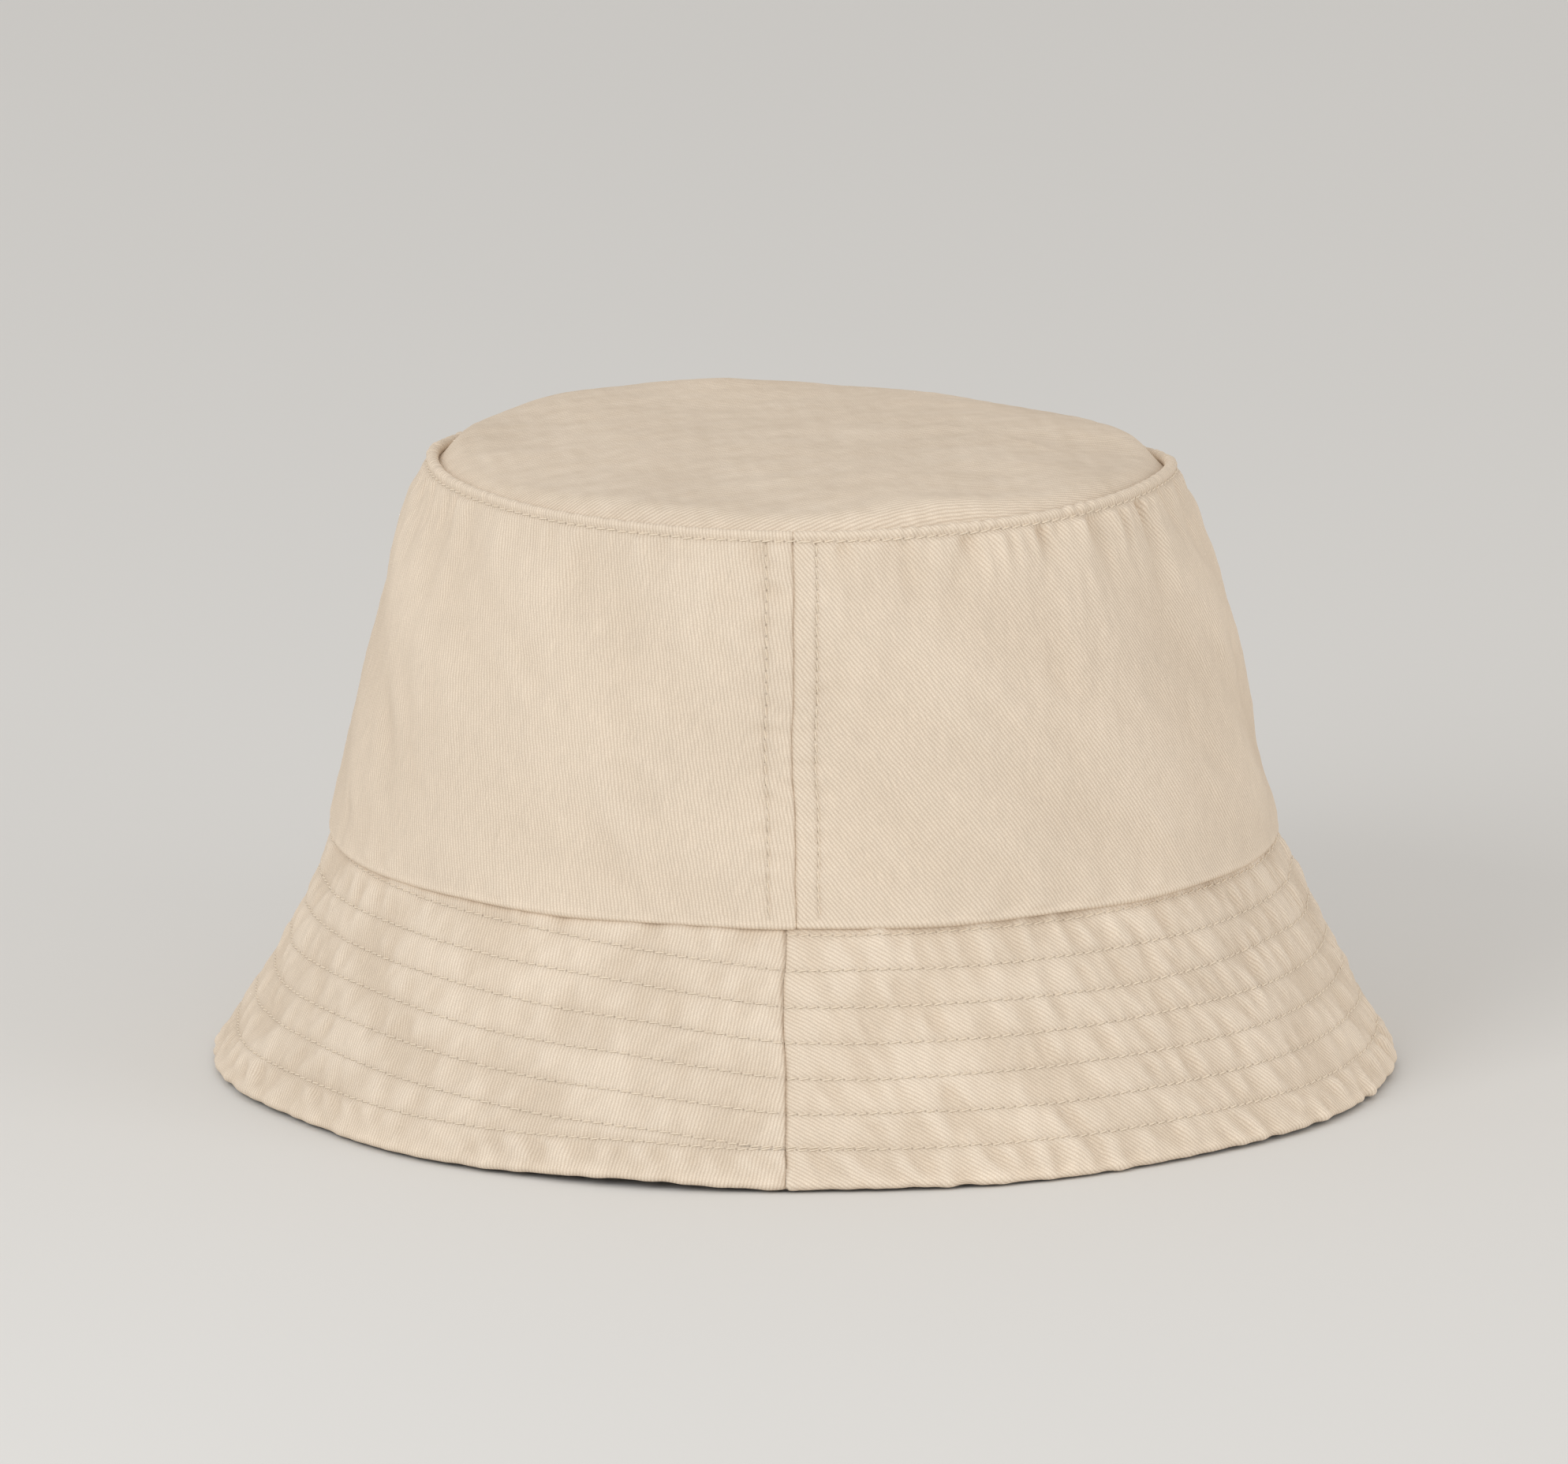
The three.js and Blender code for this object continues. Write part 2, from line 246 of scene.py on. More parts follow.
@dataclass(frozen=True)
class HatForm:
    """The sizes that every piece shares, taken from the frame's nodes, and the hat's easy shape."""

    brim_height: float
    crown_top: float
    base_radius: float
    top_radius: float
    hem_radius: float
    oval: float
    dome_top: float

    @classmethod
    def from_frame(cls) -> "HatForm":
        """Reads the sizes from the boxes of the crown, tip and brim, in millimetres."""
        side_low, side_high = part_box("crown_side_front")
        brim_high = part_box("brim_top_front")[1]
        tip_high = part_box("crown_tip")[1]
        return cls(
            brim_height=side_low[2] / MM,
            crown_top=side_high[2] / MM,
            base_radius=side_high[0] / MM,
            top_radius=tip_high[0] / MM + 2 * CLOTH + CLEARANCE,
            hem_radius=brim_high[0] / MM,
            oval=(brim_high[0] - brim_high[1]) / MM,
            dome_top=tip_high[2] / MM,
        )

    def crown_radius(self, z: Array) -> Array:
        """Crown's half length at a height: base less a lean in s and a curve in s squared."""
        s = (z - self.brim_height) / (self.crown_top - self.brim_height)
        inward = CROWN_LEAN_SHARE * s + (1 - CROWN_LEAN_SHARE) * s * s
        return self.base_radius - (self.base_radius - self.top_radius) * inward

    def brim_radius(self, z: Array) -> Array:
        """Brim's half length at a height: start plus a flare in s and a bell in s squared."""
        s = (self.brim_height - z) / self.brim_height
        outward = BRIM_FLARE_SHARE * s + (1 - BRIM_FLARE_SHARE) * s * s
        start = self.base_radius - BRIM_TUCK
        return start + (self.hem_radius - start) * outward

    def place(self, radius: Array, theta: Array, z: Array) -> Array:
        """Points of the oval plan, eased into the hat's worn shape.

        x is the radius times the cosine of theta, and y the radius less the oval's shortening
        times the sine. Inside the tip the shortening fades to nothing in step with the radius.

        Args:
            radius: Half length of the oval that the point lies on.
            theta: Angle from +X towards +Y.
            z: Height.

        Returns:
            Points, with x, y and z along the last axis.
        """
        radius, theta, z = np.broadcast_arrays(radius, theta, z)
        short = self.oval * np.minimum(radius / (self.top_radius * 0.97), 1.0)
        push = self.slouch(theta, z)
        theta = theta + self.wander(theta, z) / self.base_radius
        x = (radius + push) * np.cos(theta) - LEAN_BACK * z
        y = (radius - short + push) * np.sin(theta)
        return np.stack([x, y, z + self.dip(theta, z)], axis=-1)

    def slouch(self, theta: Array, z: Array) -> Array:
        """Soft swells of the whole wall, in or out: whole waves round the hat that drift with
        height, more on the crown's middle and at the brim's hem than at the seams between. The
        crown also bulges high up in front, and the brim is hollow at the back."""
        rise, fall = self.rise(z), self.fall(z)
        swell = added(WALL_SWELLS, theta, z) * (0.5 + 2.2 * rise * (1 - rise))
        bulge = FRONT_BULGE.at(theta) * hump(rise - 0.72, 0.24)
        pinch = BACK_PINCH.at(theta) * hump(rise - 1.0, 0.15)
        hollow = BRIM_HOLLOW.at(theta) * 4 * fall * (1 - fall)
        return swell + added(HEM_FLUTTER, theta) * fall ** 2 + bulge - pinch - hollow

    def wander(self, theta: Array, z: Array) -> Array:
        """How far the side seams stray sideways, mm: a few sines of the height, fading within a
        dozen millimetres of the seam, and gone at the crown's top. The whole right side has also
        turned a little towards the back."""
        stray = sum(size * np.sin(z / length + phase) for size, length, phase in SEAM_STRAYS)
        near = sum(hump(wrapped(theta - side.value), STRAY_WIDTH) for side in Side)
        return stray * near * smooth((self.crown_top - 3.0 - z) / 8.0) + RIGHT_TWIST.at(theta)

    def rise(self, z: Array) -> Array:
        """Share of the crown's height below z, from 0 to 1."""
        return np.clip((z - self.brim_height) / (self.crown_top - self.brim_height), 0, 1)

    def fall(self, z: Array) -> Array:
        """Share of the brim's height above z, from 0 to 1."""
        return np.clip(1 - z / self.brim_height, 0, 1)

    def far_sag(self, theta: Array) -> Array:
        """How far the rim has sunk along the hat's left side, where the tip bellies over it."""
        return FAR_SAG * smooth(2.2 * np.sin(theta))

    def dip(self, theta: Array, z: Array) -> Array:
        """Small changes of height: the crown's lower edge rises a touch at the side seams, the
        tip's rim has its dips, and the hem lifts here and there off the ground."""
        at_edge = hump((z - self.brim_height) / 14, 1.0) * hump(np.cos(theta), 0.35)
        sunk = (added(RIM_DIPS, theta) + self.far_sag(theta)) * self.rise(z) ** 2
        lift = 0.25 + 0.5 * np.maximum(0.7 + added(HEM_LIFTS, theta), 0)
        return 0.05 * at_edge - sunk + (lift + added(HEM_KICK, theta)) * self.fall(z) ** 2


@dataclass(frozen=True)
class Profile:
    """A line in the plane of radius and height that a cloth follows upwards.

    Attributes:
        radius: Radii of its points.
        height: Heights of its points.
        start: Index of the point where the run counts from zero.
    """

    radius: Array
    height: Array
    start: int = 0

    @property
    def runs(self) -> Array:
        """Length along the line to each point, from the start point."""
        steps = np.hypot(np.diff(self.radius), np.diff(self.height))
        total = np.concatenate([[0.0], np.cumsum(steps)])
        return total - total[self.start]

    def at(self, run: Array) -> tuple[Array, Array, Array, Array]:
        """Where the line is, and which way is out of the cloth, at a run.

        The outward normal is the line's direction turned a quarter to the right.

        Args:
            run: Length along the line.

        Returns:
            Radius, height, and the normal's parts along radius and height.
        """
        runs = self.runs
        along_r = np.gradient(self.radius, runs)
        along_z = np.gradient(self.height, runs)
        size = np.hypot(along_r, along_z)
        r = np.interp(run, runs, self.radius)
        z = np.interp(run, runs, self.height)
        return r, z, np.interp(run, runs, along_z / size), np.interp(run, runs, -along_r / size)


def arc(radius: float, height: float, out: Array, along: Array, size: float,
        first: float, last: float) -> tuple[Array, Array]:
    """Points of a rolled edge: centre plus size times (cosine of a times out, sine times along).

    Args:
        radius: Radius of the roll's middle in the hat.
        height: Height of the roll's middle.
        out: Unit vector out of the cloth, as (radius, height).
        along: Unit vector up the cloth.
        size: Radius of the roll itself.
        first: Angle a at the first point.
        last: Angle a at the last point.

    Returns:
        Radii and heights.
    """
    a = np.linspace(first, last, 24)
    return (radius + size * (np.cos(a) * out[0] + np.sin(a) * along[0]),
            height + size * (np.cos(a) * out[1] + np.sin(a) * along[1]))


@dataclass(frozen=True)
class Surface:
    """A cloth's face: a profile line carried round the hat, with relief along its normal."""

    form: HatForm
    profile: Profile
    relief: Relief

    def place(self, theta: Array, run: Array, lift: Array | float = 0.0) -> Array:
        """The point at an angle and a run, lifted along the normal by the relief and the lift."""
        theta, run = np.broadcast_arrays(theta, run)
        r, z, out_r, out_z = self.profile.at(run)
        height = self.relief(theta, run) + lift
        return self.form.place(r + height * out_r, theta, z + height * out_z)


# ---- meshes ----


@dataclass
class Sheet:
    """A grid of points on a cloth with what its finish needs to know at each point.

    Attributes:
        points: Grid of points, first parameter by second parameter by xyz.
        weave: Position on the flat cloth, mm, for the weave.
        stitch: Stitch phase along the nearest row, and distance from that row in mm.
        wear: 1 where the cloth is rubbed pale; -1 in the bottom of a seam or crevice, where shade is painted.
        fade: 1 on the tops of puckers, which washing has bleached, and -1 in their valleys; it also paints
            the relief's light and shade into the colour.
    """

    points: Array
    weave: Array
    stitch: Array | None = None
    wear: Array | None = None
    fade: Array | None = None

    def pick(self, *steps: int) -> "Sheet":
        """The grid's points at a step along its first parameter, and along its second if given."""
        cut = tuple(slice(None, None, step) for step in steps)
        return Sheet(*(None if part is None else part[cut] for part in vars(self).values()))

    def thin(self, stride: int) -> "Sheet":
        """Every stride-th point of the grid, both ways."""
        return self.pick(stride, stride)

    def turned(self) -> "Sheet":
        """The same grid with its first parameter reversed, so that it faces the other way."""
        return self.pick(-1)


def grid_quads(ids: Array, flip: bool = False) -> Array:
    """The four-cornered faces of a grid of vertex numbers, turned over if asked."""
    quads = np.stack([ids[:-1, :-1], ids[1:, :-1], ids[1:, 1:], ids[:-1, 1:]], axis=-1).reshape(-1, 4)
    return quads[:, ::-1] if flip else quads


def border_faces(fine: Array, coarse: Array, stride: int, flip: bool) -> Array:
    """Faces between a fine row of vertices and a row that has every stride-th of them.

    Args:
        fine: Vertex numbers along the fine row.
        coarse: Vertex numbers along the coarse row.
        stride: How many fine steps there are to one coarse step.
        flip: Turns the faces over.

    Returns:
        One face of stride + 3 corners to each coarse step.
    """
    starts = np.arange(0, len(fine) - 1, stride)
    along = fine[starts[:, None] + np.arange(stride + 1)]
    faces = np.concatenate([along, coarse[1:, None], coarse[:-1, None]], axis=1)
    return faces[:, ::-1] if flip else faces


@dataclass
class MeshMaker:
    """Collects vertices, their attributes and faces, and writes them as one mesh object."""

    points: list[Array] = field(default_factory=list)
    weave: list[Array] = field(default_factory=list)
    stitch: list[Array] = field(default_factory=list)
    wear: list[Array] = field(default_factory=list)
    fade: list[Array] = field(default_factory=list)
    faces: list[Array] = field(default_factory=list)
    count: int = 0

    def add_points(self, sheet: Sheet) -> Array:
        """Adds a grid's points and returns the grid of their vertex numbers."""
        shape = sheet.points.shape[:-1]
        size = int(np.prod(shape))
        far = np.broadcast_to(np.array([0.5, FAR]), shape + (2,))
        self.points.append(sheet.points.reshape(-1, 3))
        self.weave.append(np.broadcast_to(sheet.weave, shape + (2,)).reshape(-1, 2))
        self.stitch.append((far if sheet.stitch is None else sheet.stitch).reshape(-1, 2))
        self.wear.append((np.zeros(shape) if sheet.wear is None else sheet.wear).reshape(-1))
        self.fade.append((np.zeros(shape) if sheet.fade is None else sheet.fade).reshape(-1))
        ids = np.arange(self.count, self.count + size).reshape(shape)
        self.count += size
        return ids

    def shell(self, outer: Sheet, inner: Sheet, stride: int = 4, around: bool = False) -> None:
        """Adds a closed cloth: an outer face, a coarser inner face, and faces round the border.

        Args:
            outer: The face whose normal is the first parameter's direction cross the second's.
            inner: The other face, on the same grid as the outer one.
            stride: The inner face keeps every stride-th point.
            around: The first parameter closes on itself, so it has no border there.
        """
        out = self.add_points(outer)
        back = self.add_points(inner.thin(stride))
        if around:
            out[-1] = out[0]
            back[-1] = back[0]
        self.faces.append(grid_quads(out))
        self.faces.append(grid_quads(back, flip=True))
        self.faces.append(border_faces(out[:, 0], back[:, 0], stride, flip=True))
        self.faces.append(border_faces(out[:, -1], back[:, -1], stride, flip=False))
        if not around:
            self.faces.append(border_faces(out[0], back[0], stride, flip=False))
            self.faces.append(border_faces(out[-1], back[-1], stride, flip=True))

    def tubes(self, rings: Array, weave: Array) -> None:
        """Adds closed tubes.

        Args:
            rings: Points by tube, ring, corner and xyz; the corners run anticlockwise seen from
                the tube's far end.
            weave: Length along and share round the thread at each point.
        """
        ids = self.add_points(Sheet(rings, weave))
        nxt = np.roll(ids, -1, axis=2)
        quads = np.stack([ids[:, :-1], nxt[:, :-1], nxt[:, 1:], ids[:, 1:]], axis=-1)
        self.faces.append(quads.reshape(-1, 4))
        self.faces.append(ids[:, 0, ::-1])
        self.faces.append(ids[:, -1])

    def build(self, name: str, material: Material) -> Piece:
        """Writes the mesh in metres and makes its object, shaded smooth.

        Args:
            name: Name of the object.
            material: Its only material.

        Returns:
            The object, linked to the scene and standing at the origin.
        """
        points = np.concatenate(self.points) * MM
        corners = np.concatenate([f.reshape(-1) for f in self.faces])
        totals = np.concatenate([np.full(len(f), f.shape[1]) for f in self.faces])
        used = np.zeros(len(points), dtype=bool)
        used[corners] = True
        renumber = np.cumsum(used) - 1
        corners = renumber[corners].astype(np.int32)

        mesh = bpy.data.meshes.new(name)
        mesh.vertices.add(int(used.sum()))
        mesh.vertices.foreach_set("co", points[used].ravel())
        mesh.loops.add(len(corners))
        mesh.loops.foreach_set("vertex_index", corners)
        mesh.polygons.add(len(totals))
        mesh.polygons.foreach_set("loop_start", (np.cumsum(totals) - totals).astype(np.int32))
        mesh.polygons.foreach_set("use_smooth", np.ones(len(totals), dtype=bool))
        mesh.update(calc_edges=True)
        for layer, values in (("weave", self.weave), ("stitch", self.stitch)):
            uv = mesh.uv_layers.new(name=layer)
            uv.data.foreach_set("uv", np.concatenate(values)[used][corners].ravel())
        for layer, values in (("wear", self.wear), ("fade", self.fade)):
            attribute = mesh.attributes.new(layer, "FLOAT", "POINT")
            attribute.data.foreach_set("value", np.concatenate(values)[used])
        mesh.materials.append(material)
        if mesh.validate():
            log.warning("%s had faults that were mended", name)
        piece = bpy.data.objects.new(name, mesh)
        bpy.context.scene.collection.objects.link(piece)
        return piece


def register(piece: Piece, nodes: list[str], body: str = "hat") -> Piece:
    """Ties a piece to its body and hides the nodes that it stands for."""
    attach(piece, body)
    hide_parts(*nodes)
    log.info("%s: %d faces, for %s", piece.name, len(piece.data.polygons), ", ".join(nodes))
    return piece


def lay(node: str, outer: Sheet, inner: Sheet, material: Material,
        piece: str = "", stride: int = 4, around: bool = False, body: str = "hat") -> Piece:
    """Makes a closed cloth of two faces and ties it to its node.

    Args:
        node: The frame's node that it stands for.
        outer: Its fine face.
        inner: Its other face.
        material: Its finish.
        piece: Its name without the ending, if that isn't the node's.
        stride: The inner face keeps every stride-th point.
        around: It goes all the way round the hat.
        body: The body that it rides on.

    Returns:
        The piece.
    """
    maker = MeshMaker()
    maker.shell(outer, inner, stride, around)
    return register(maker.build(f"{piece or node}_cloth", material), [node], body)


# ---- stitching ----

FAR = 50.0  # a distance at which a row leaves no mark
STITCH_LENGTH = 2.48
STITCH_GAP = 0.30
THREAD_WIDTH = 0.43
THREAD_HEIGHT = 0.36


@dataclass(frozen=True)
class StitchRow:
    """A row of lock stitches on a surface, given as a path of angles and runs.

    Attributes:
        surface: The cloth that it lies on.
        theta: Angle at each point of the path.
        run: Run at each point of the path.
        inward: The row shows on the cloth's inner side.
    """

    surface: Surface
    theta: Array
    run: Array
    inward: bool = False

    @property
    def lengths(self) -> Array:
        """Length along the row to each point of the path, on the bare profile."""
        r, z, _, _ = self.surface.profile.at(self.run)
        points = self.surface.form.place(r, self.theta, z)
        steps = np.linalg.norm(np.diff(points, axis=0), axis=1)
        return np.concatenate([[0.0], np.cumsum(steps)])

    def phase(self, theta: Array) -> Array:
        """Stitches from the row's start to an angle, for a path that runs round the hat."""
        return np.interp(theta, self.theta, self.lengths / STITCH_LENGTH)

    def threads(self, seed: int, lift: float = 0.0) -> tuple[Array, Array]:
        """The visible part of each stitch as a short tube that dives into the cloth at its ends.

        A stitch covers its length less a gap. Its middle line rises from under the cloth to a
        flat top and sinks again, as the root of a half wave, and slants slightly across the row.
        Round the middle line lies an ellipse that narrows towards both ends.

        Args:
            seed: For the small differences from stitch to stitch.
            lift: Height of the cloth's face over the surface.

        Returns:
            Points by stitch, ring, corner and xyz, and length along with share round.
        """
        rng = np.random.default_rng(seed)
        lengths = self.lengths
        count = int(lengths[-1] / STITCH_LENGTH)
        share = np.array([0.0, 0.14, 0.34, 0.66, 0.86, 1.0])
        corners = np.arange(6) * (2 * np.pi / 6)
        start = np.arange(count)[:, None] * STITCH_LENGTH + STITCH_GAP / 2
        wobble = rng.normal(0, 0.05, (count, 1))
        along = start + wobble + share * (STITCH_LENGTH - STITCH_GAP)
        theta = np.interp(along, lengths, self.theta)
        run = np.interp(along, lengths, self.run)
        rise = THREAD_HEIGHT * (0.80 * np.sqrt(np.sin(np.pi * np.clip(share, 0.02, 0.98))) - 0.52)
        size = 0.62 + 0.38 * np.sin(np.pi * share) ** 0.5
        sign = -1.0 if self.inward else 1.0
        slant = -0.36 * (share - 0.5) + rng.normal(0, 0.05, (count, 1))

        middle = self.surface.place(theta, run, lift + sign * rise)
        out = self.surface.place(theta, run, lift + sign * (rise + 1.0)) - middle
        out /= np.linalg.norm(out, axis=-1, keepdims=True)
        forward = np.gradient(middle, axis=1)
        forward /= np.linalg.norm(forward, axis=-1, keepdims=True)
        across = np.cross(forward, out)
        across /= np.linalg.norm(across, axis=-1, keepdims=True)
        middle = middle + slant[..., None] * across
        width = (THREAD_WIDTH / 2 * size)[:, None, None]
        height = (THREAD_HEIGHT / 2 * size)[:, None, None]
        rings = (middle[:, :, None]
                 + width * np.cos(corners)[:, None] * across[:, :, None]
                 - height * np.sin(corners)[:, None] * out[:, :, None])
        weave = np.stack(np.broadcast_arrays(along[:, :, None], corners / (2 * np.pi)), axis=-1)
        return rings, weave


def nearest(rows: list[tuple[Array, Array]]) -> Array:
    """The phase and distance of whichever row is nearest at each point.

    Args:
        rows: For each row, the phase and the signed distance at every point of a grid.

    Returns:
        Phase and distance along the last axis.
    """
    phase = np.stack(np.broadcast_arrays(*[p for p, _ in rows]))
    away = np.stack(np.broadcast_arrays(*[d for _, d in rows]))
    pick = np.argmin(np.abs(away), axis=0)[None]
    return np.concatenate([np.take_along_axis(phase, pick, 0), np.take_along_axis(away, pick, 0)]
                          ).transpose(1, 2, 0)


def sew(name: str, rows: list[StitchRow], material: Material, nodes: list[str],
        seed: int, lift: float = 0.0, body: str = "hat") -> Piece:
    """Makes one piece of all the stitches of some rows.

    Args:
        name: Name of the piece.
        rows: The rows.
        material: The thread's finish.
        nodes: The frame's nodes that the piece stands for.
        seed: For the differences between stitches.
        lift: Height of the cloth's face over the surface.
        body: The body that it rides on.

    Returns:
        The piece.
    """
    maker = MeshMaker()
    for number, row in enumerate(rows):
        maker.tubes(*row.threads(seed + number, lift))
    return register(maker.build(name, material), nodes, body)


@dataclass(frozen=True)
class Cone:
    """A half panel laid flat: a sector of a ring whose point is above it.

    Attributes:
        turn: Share of an angle round the hat that is left when the panel lies flat.
        middle: Angle of the panel's middle line.
        radius: Mean half length of the hat there.
        run: Run at that radius.
    """

    turn: float
    middle: float
    radius: float
    run: float

    def flat(self, theta: Array, run: Array) -> Array:
        """Position on the flat cloth: rho times the sine and minus the cosine of turn times the
        angle from the middle, where rho is the distance from the sector's point."""
        theta, run = np.broadcast_arrays(theta, run)
        rho = self.radius / self.turn - (run - self.run)
        angle = self.turn * (theta - self.middle)
        return np.stack([rho * np.sin(angle), self.radius / self.turn - rho * np.cos(angle)], axis=-1)


def seam_distance(theta: Array, side: Side, radius: float, shift: float = 0.0) -> Array:
    """Signed distance from a side seam, mm, positive towards larger angles.

    Args:
        theta: Angle.
        side: Which seam.
        radius: Half length of the hat there.
        shift: How far the seam lies from the hat's middle line.

    Returns:
        The distance.
    """
    return radius * wrapped(theta - side.value) - shift


# ---- finishes ----


class Tree:
    """Adds nodes to a shader tree; an input given as a socket is linked, any other is set."""

    def __init__(self, tree: bpy.types.NodeTree) -> None:
        """Empties the tree and keeps it."""
        self.tree = tree
        tree.nodes.clear()

    def node(self, kind: str, settings: dict | None = None, **inputs: object) -> Node:
        """Adds a node.

        Args:
            kind: The node's type name, after ShaderNode.
            settings: The node's own settings.
            **inputs: Values or sockets by input name, with spaces as underscores.

        Returns:
            The node.
        """
        made = self.tree.nodes.new("ShaderNode" + kind)
        for key, value in (settings or {}).items():
            setattr(made, key, value)
        for key, value in inputs.items():
            self.feed(made.inputs[key.replace("_", " ")], value)
        return made

    def feed(self, socket: Socket, value: object) -> None:
        """Links a socket to another, or sets its value."""
        if isinstance(value, Socket):
            self.tree.links.new(value, socket)
        else:
            socket.default_value = value

    def math(self, operation: str, a: object, b: object = 0.0, c: object = 0.0,
             clamp: bool = False) -> Socket:
        """One arithmetic step on numbers."""
        made = self.tree.nodes.new("ShaderNodeMath")
        made.operation = operation
        made.use_clamp = clamp
        for socket, value in zip(made.inputs, (a, b, c)):
            self.feed(socket, value)
        return made.outputs[0]

    def vector(self, operation: str, a: object, b: object = (0.0, 0.0, 0.0)) -> Node:
        """One arithmetic step on vectors; the caller picks the output."""
        made = self.tree.nodes.new("ShaderNodeVectorMath")
        made.operation = operation
        self.feed(made.inputs[0], a)
        self.feed(made.inputs[1], b)
        return made

    def scale(self, vector: object, by: tuple[float, float, float]) -> Socket:
        """A vector with each part multiplied."""
        return self.vector("MULTIPLY", vector, by).outputs[0]

    def noise(self, vector: object, size: float, detail: float = 2.0, rough: float = 0.5) -> Socket:
        """Smooth noise from 0 to 1 whose blotches are about one over size apart."""
        made = self.node("TexNoise", Vector=vector, Scale=size, Detail=detail, Roughness=rough)
        return made.outputs["Fac"]

    def span(self, value: object, low: float, high: float, out_low: float, out_high: float) -> Socket:
        """A number moved smoothly from one span to another, and held at its ends."""
        made = self.node("MapRange", {"interpolation_type": "SMOOTHSTEP"}, Value=value,
                         From_Min=low, From_Max=high, To_Min=out_low, To_Max=out_high)
        return made.outputs[0]

    def vary(self, value: object, pattern: object, amount: float) -> Socket:
        """A number changed by a pattern from 0 to 1, by half the amount either way."""
        return self.math("MULTIPLY_ADD", self.math("SUBTRACT", pattern, 0.5), amount, value)

    def mix(self, amount: object, a: object, b: object, blend: str = "MIX") -> Socket:
        """Two colours mixed by an amount."""
        made = self.tree.nodes.new("ShaderNodeMix")
        made.data_type = "RGBA"
        made.blend_type = blend
        for name, value in (("Factor_Float", amount), ("A_Color", a), ("B_Color", b)):
            socket = next(s for s in made.inputs if s.identifier == name)
            self.feed(socket, value)
        return next(s for s in made.outputs if s.identifier == "Result_Color")


def new_group(name: str, inputs: dict[str, tuple[str, object]], outputs: list[str]
              ) -> tuple[bpy.types.NodeTree, Tree, Node]:
    """An empty node group with named sockets.

    Args:
        name: Name of the group.
        inputs: Input names, with each one's socket type and first value.
        outputs: Output names; all are numbers.

    Returns:
        The group, a Tree over it, and its input node.
    """
    group = bpy.data.node_groups.new(name, "ShaderNodeTree")
    for label, (kind, value) in inputs.items():
        socket = group.interface.new_socket(label, in_out="INPUT", socket_type="NodeSocket" + kind)
        if kind == "Float":
            socket.default_value = value
    for label in outputs:
        group.interface.new_socket(label, in_out="OUTPUT", socket_type="NodeSocketFloat")
    tree = Tree(group)
    return group, tree, group.nodes.new("NodeGroupInput")


def close_group(tree: Tree, outputs: dict[str, Socket]) -> None:
    """Links the group's results to its output node."""
    end = tree.tree.nodes.new("NodeGroupOutput")
    for label, socket in outputs.items():
        tree.feed(end.inputs[label], socket)


def twill_group() -> bpy.types.NodeTree:
    """Node group: the diagonal ribs of a three-over-one twill.

    The rib phase is the flat position across the ribs over their pitch, bent by noise. A rib is
    a rounded wave of that phase with sharp valleys. Along each rib the floats of single yarns
    follow each other, shifted from rib to rib, and slubs are streaks of noise along the yarn.
    """
    group, t, given = new_group(
        "twill_weave",
        {"Position": ("Vector", None), "Pitch": ("Float", 0.78), "Unevenness": ("Float", 1.0)},
        ["Height", "Valley", "Slub", "Grain"])
    position = given.outputs["Position"]
    rib = np.radians(114.0)
    across = (np.sin(rib), -np.cos(rib), 0.0)
    along = (np.cos(rib), np.sin(rib), 0.0)
    bend = t.noise(position, 0.22, 2.0)
    jitter = t.noise(position, 1.1, 2.0)
    drift = t.vary(t.vary(0.0, jitter, 0.20), bend, 0.8)
    drift = t.math("MULTIPLY", drift, given.outputs["Unevenness"])
    phase = t.math("ADD", t.math("DIVIDE", t.vector("DOT_PRODUCT", position, across).outputs["Value"],
                                 given.outputs["Pitch"]), drift)
    wave = t.math("COSINE", t.math("MULTIPLY", phase, 2 * np.pi))
    rib_top = t.math("POWER", t.math("MULTIPLY_ADD", wave, 0.5, 0.5), 0.6)
    number = t.math("FLOOR", t.math("ADD", phase, 0.5))
    length = t.math("DIVIDE", t.vector("DOT_PRODUCT", position, along).outputs["Value"], 0.52)
    beat = t.math("MULTIPLY_ADD", number, 0.37, t.math("MULTIPLY_ADD", jitter, 1.4, length))
    floats = t.math("MULTIPLY_ADD", t.math("COSINE", t.math("MULTIPLY", beat, 2 * np.pi)), 0.5, 0.5)
    slub = t.noise(t.scale(position, (2.6, 0.16, 1.0)), 1.0, 3.0, 0.6)
    fibre = t.noise(t.scale(position, (4.2, 1.8, 1.0)), 1.0, 3.0, 0.75)
    height = t.math("MULTIPLY", rib_top, t.math("MULTIPLY_ADD", floats, 0.42, 0.58))
    height = t.vary(t.vary(height, slub, 0.5), fibre, 0.55)
    valley = t.math("SUBTRACT", 1.0, t.math("MULTIPLY", rib_top, t.math("MULTIPLY_ADD", floats, 0.38, 0.62)))
    close_group(t, {"Height": height, "Valley": valley, "Slub": slub, "Grain": fibre})
    return group


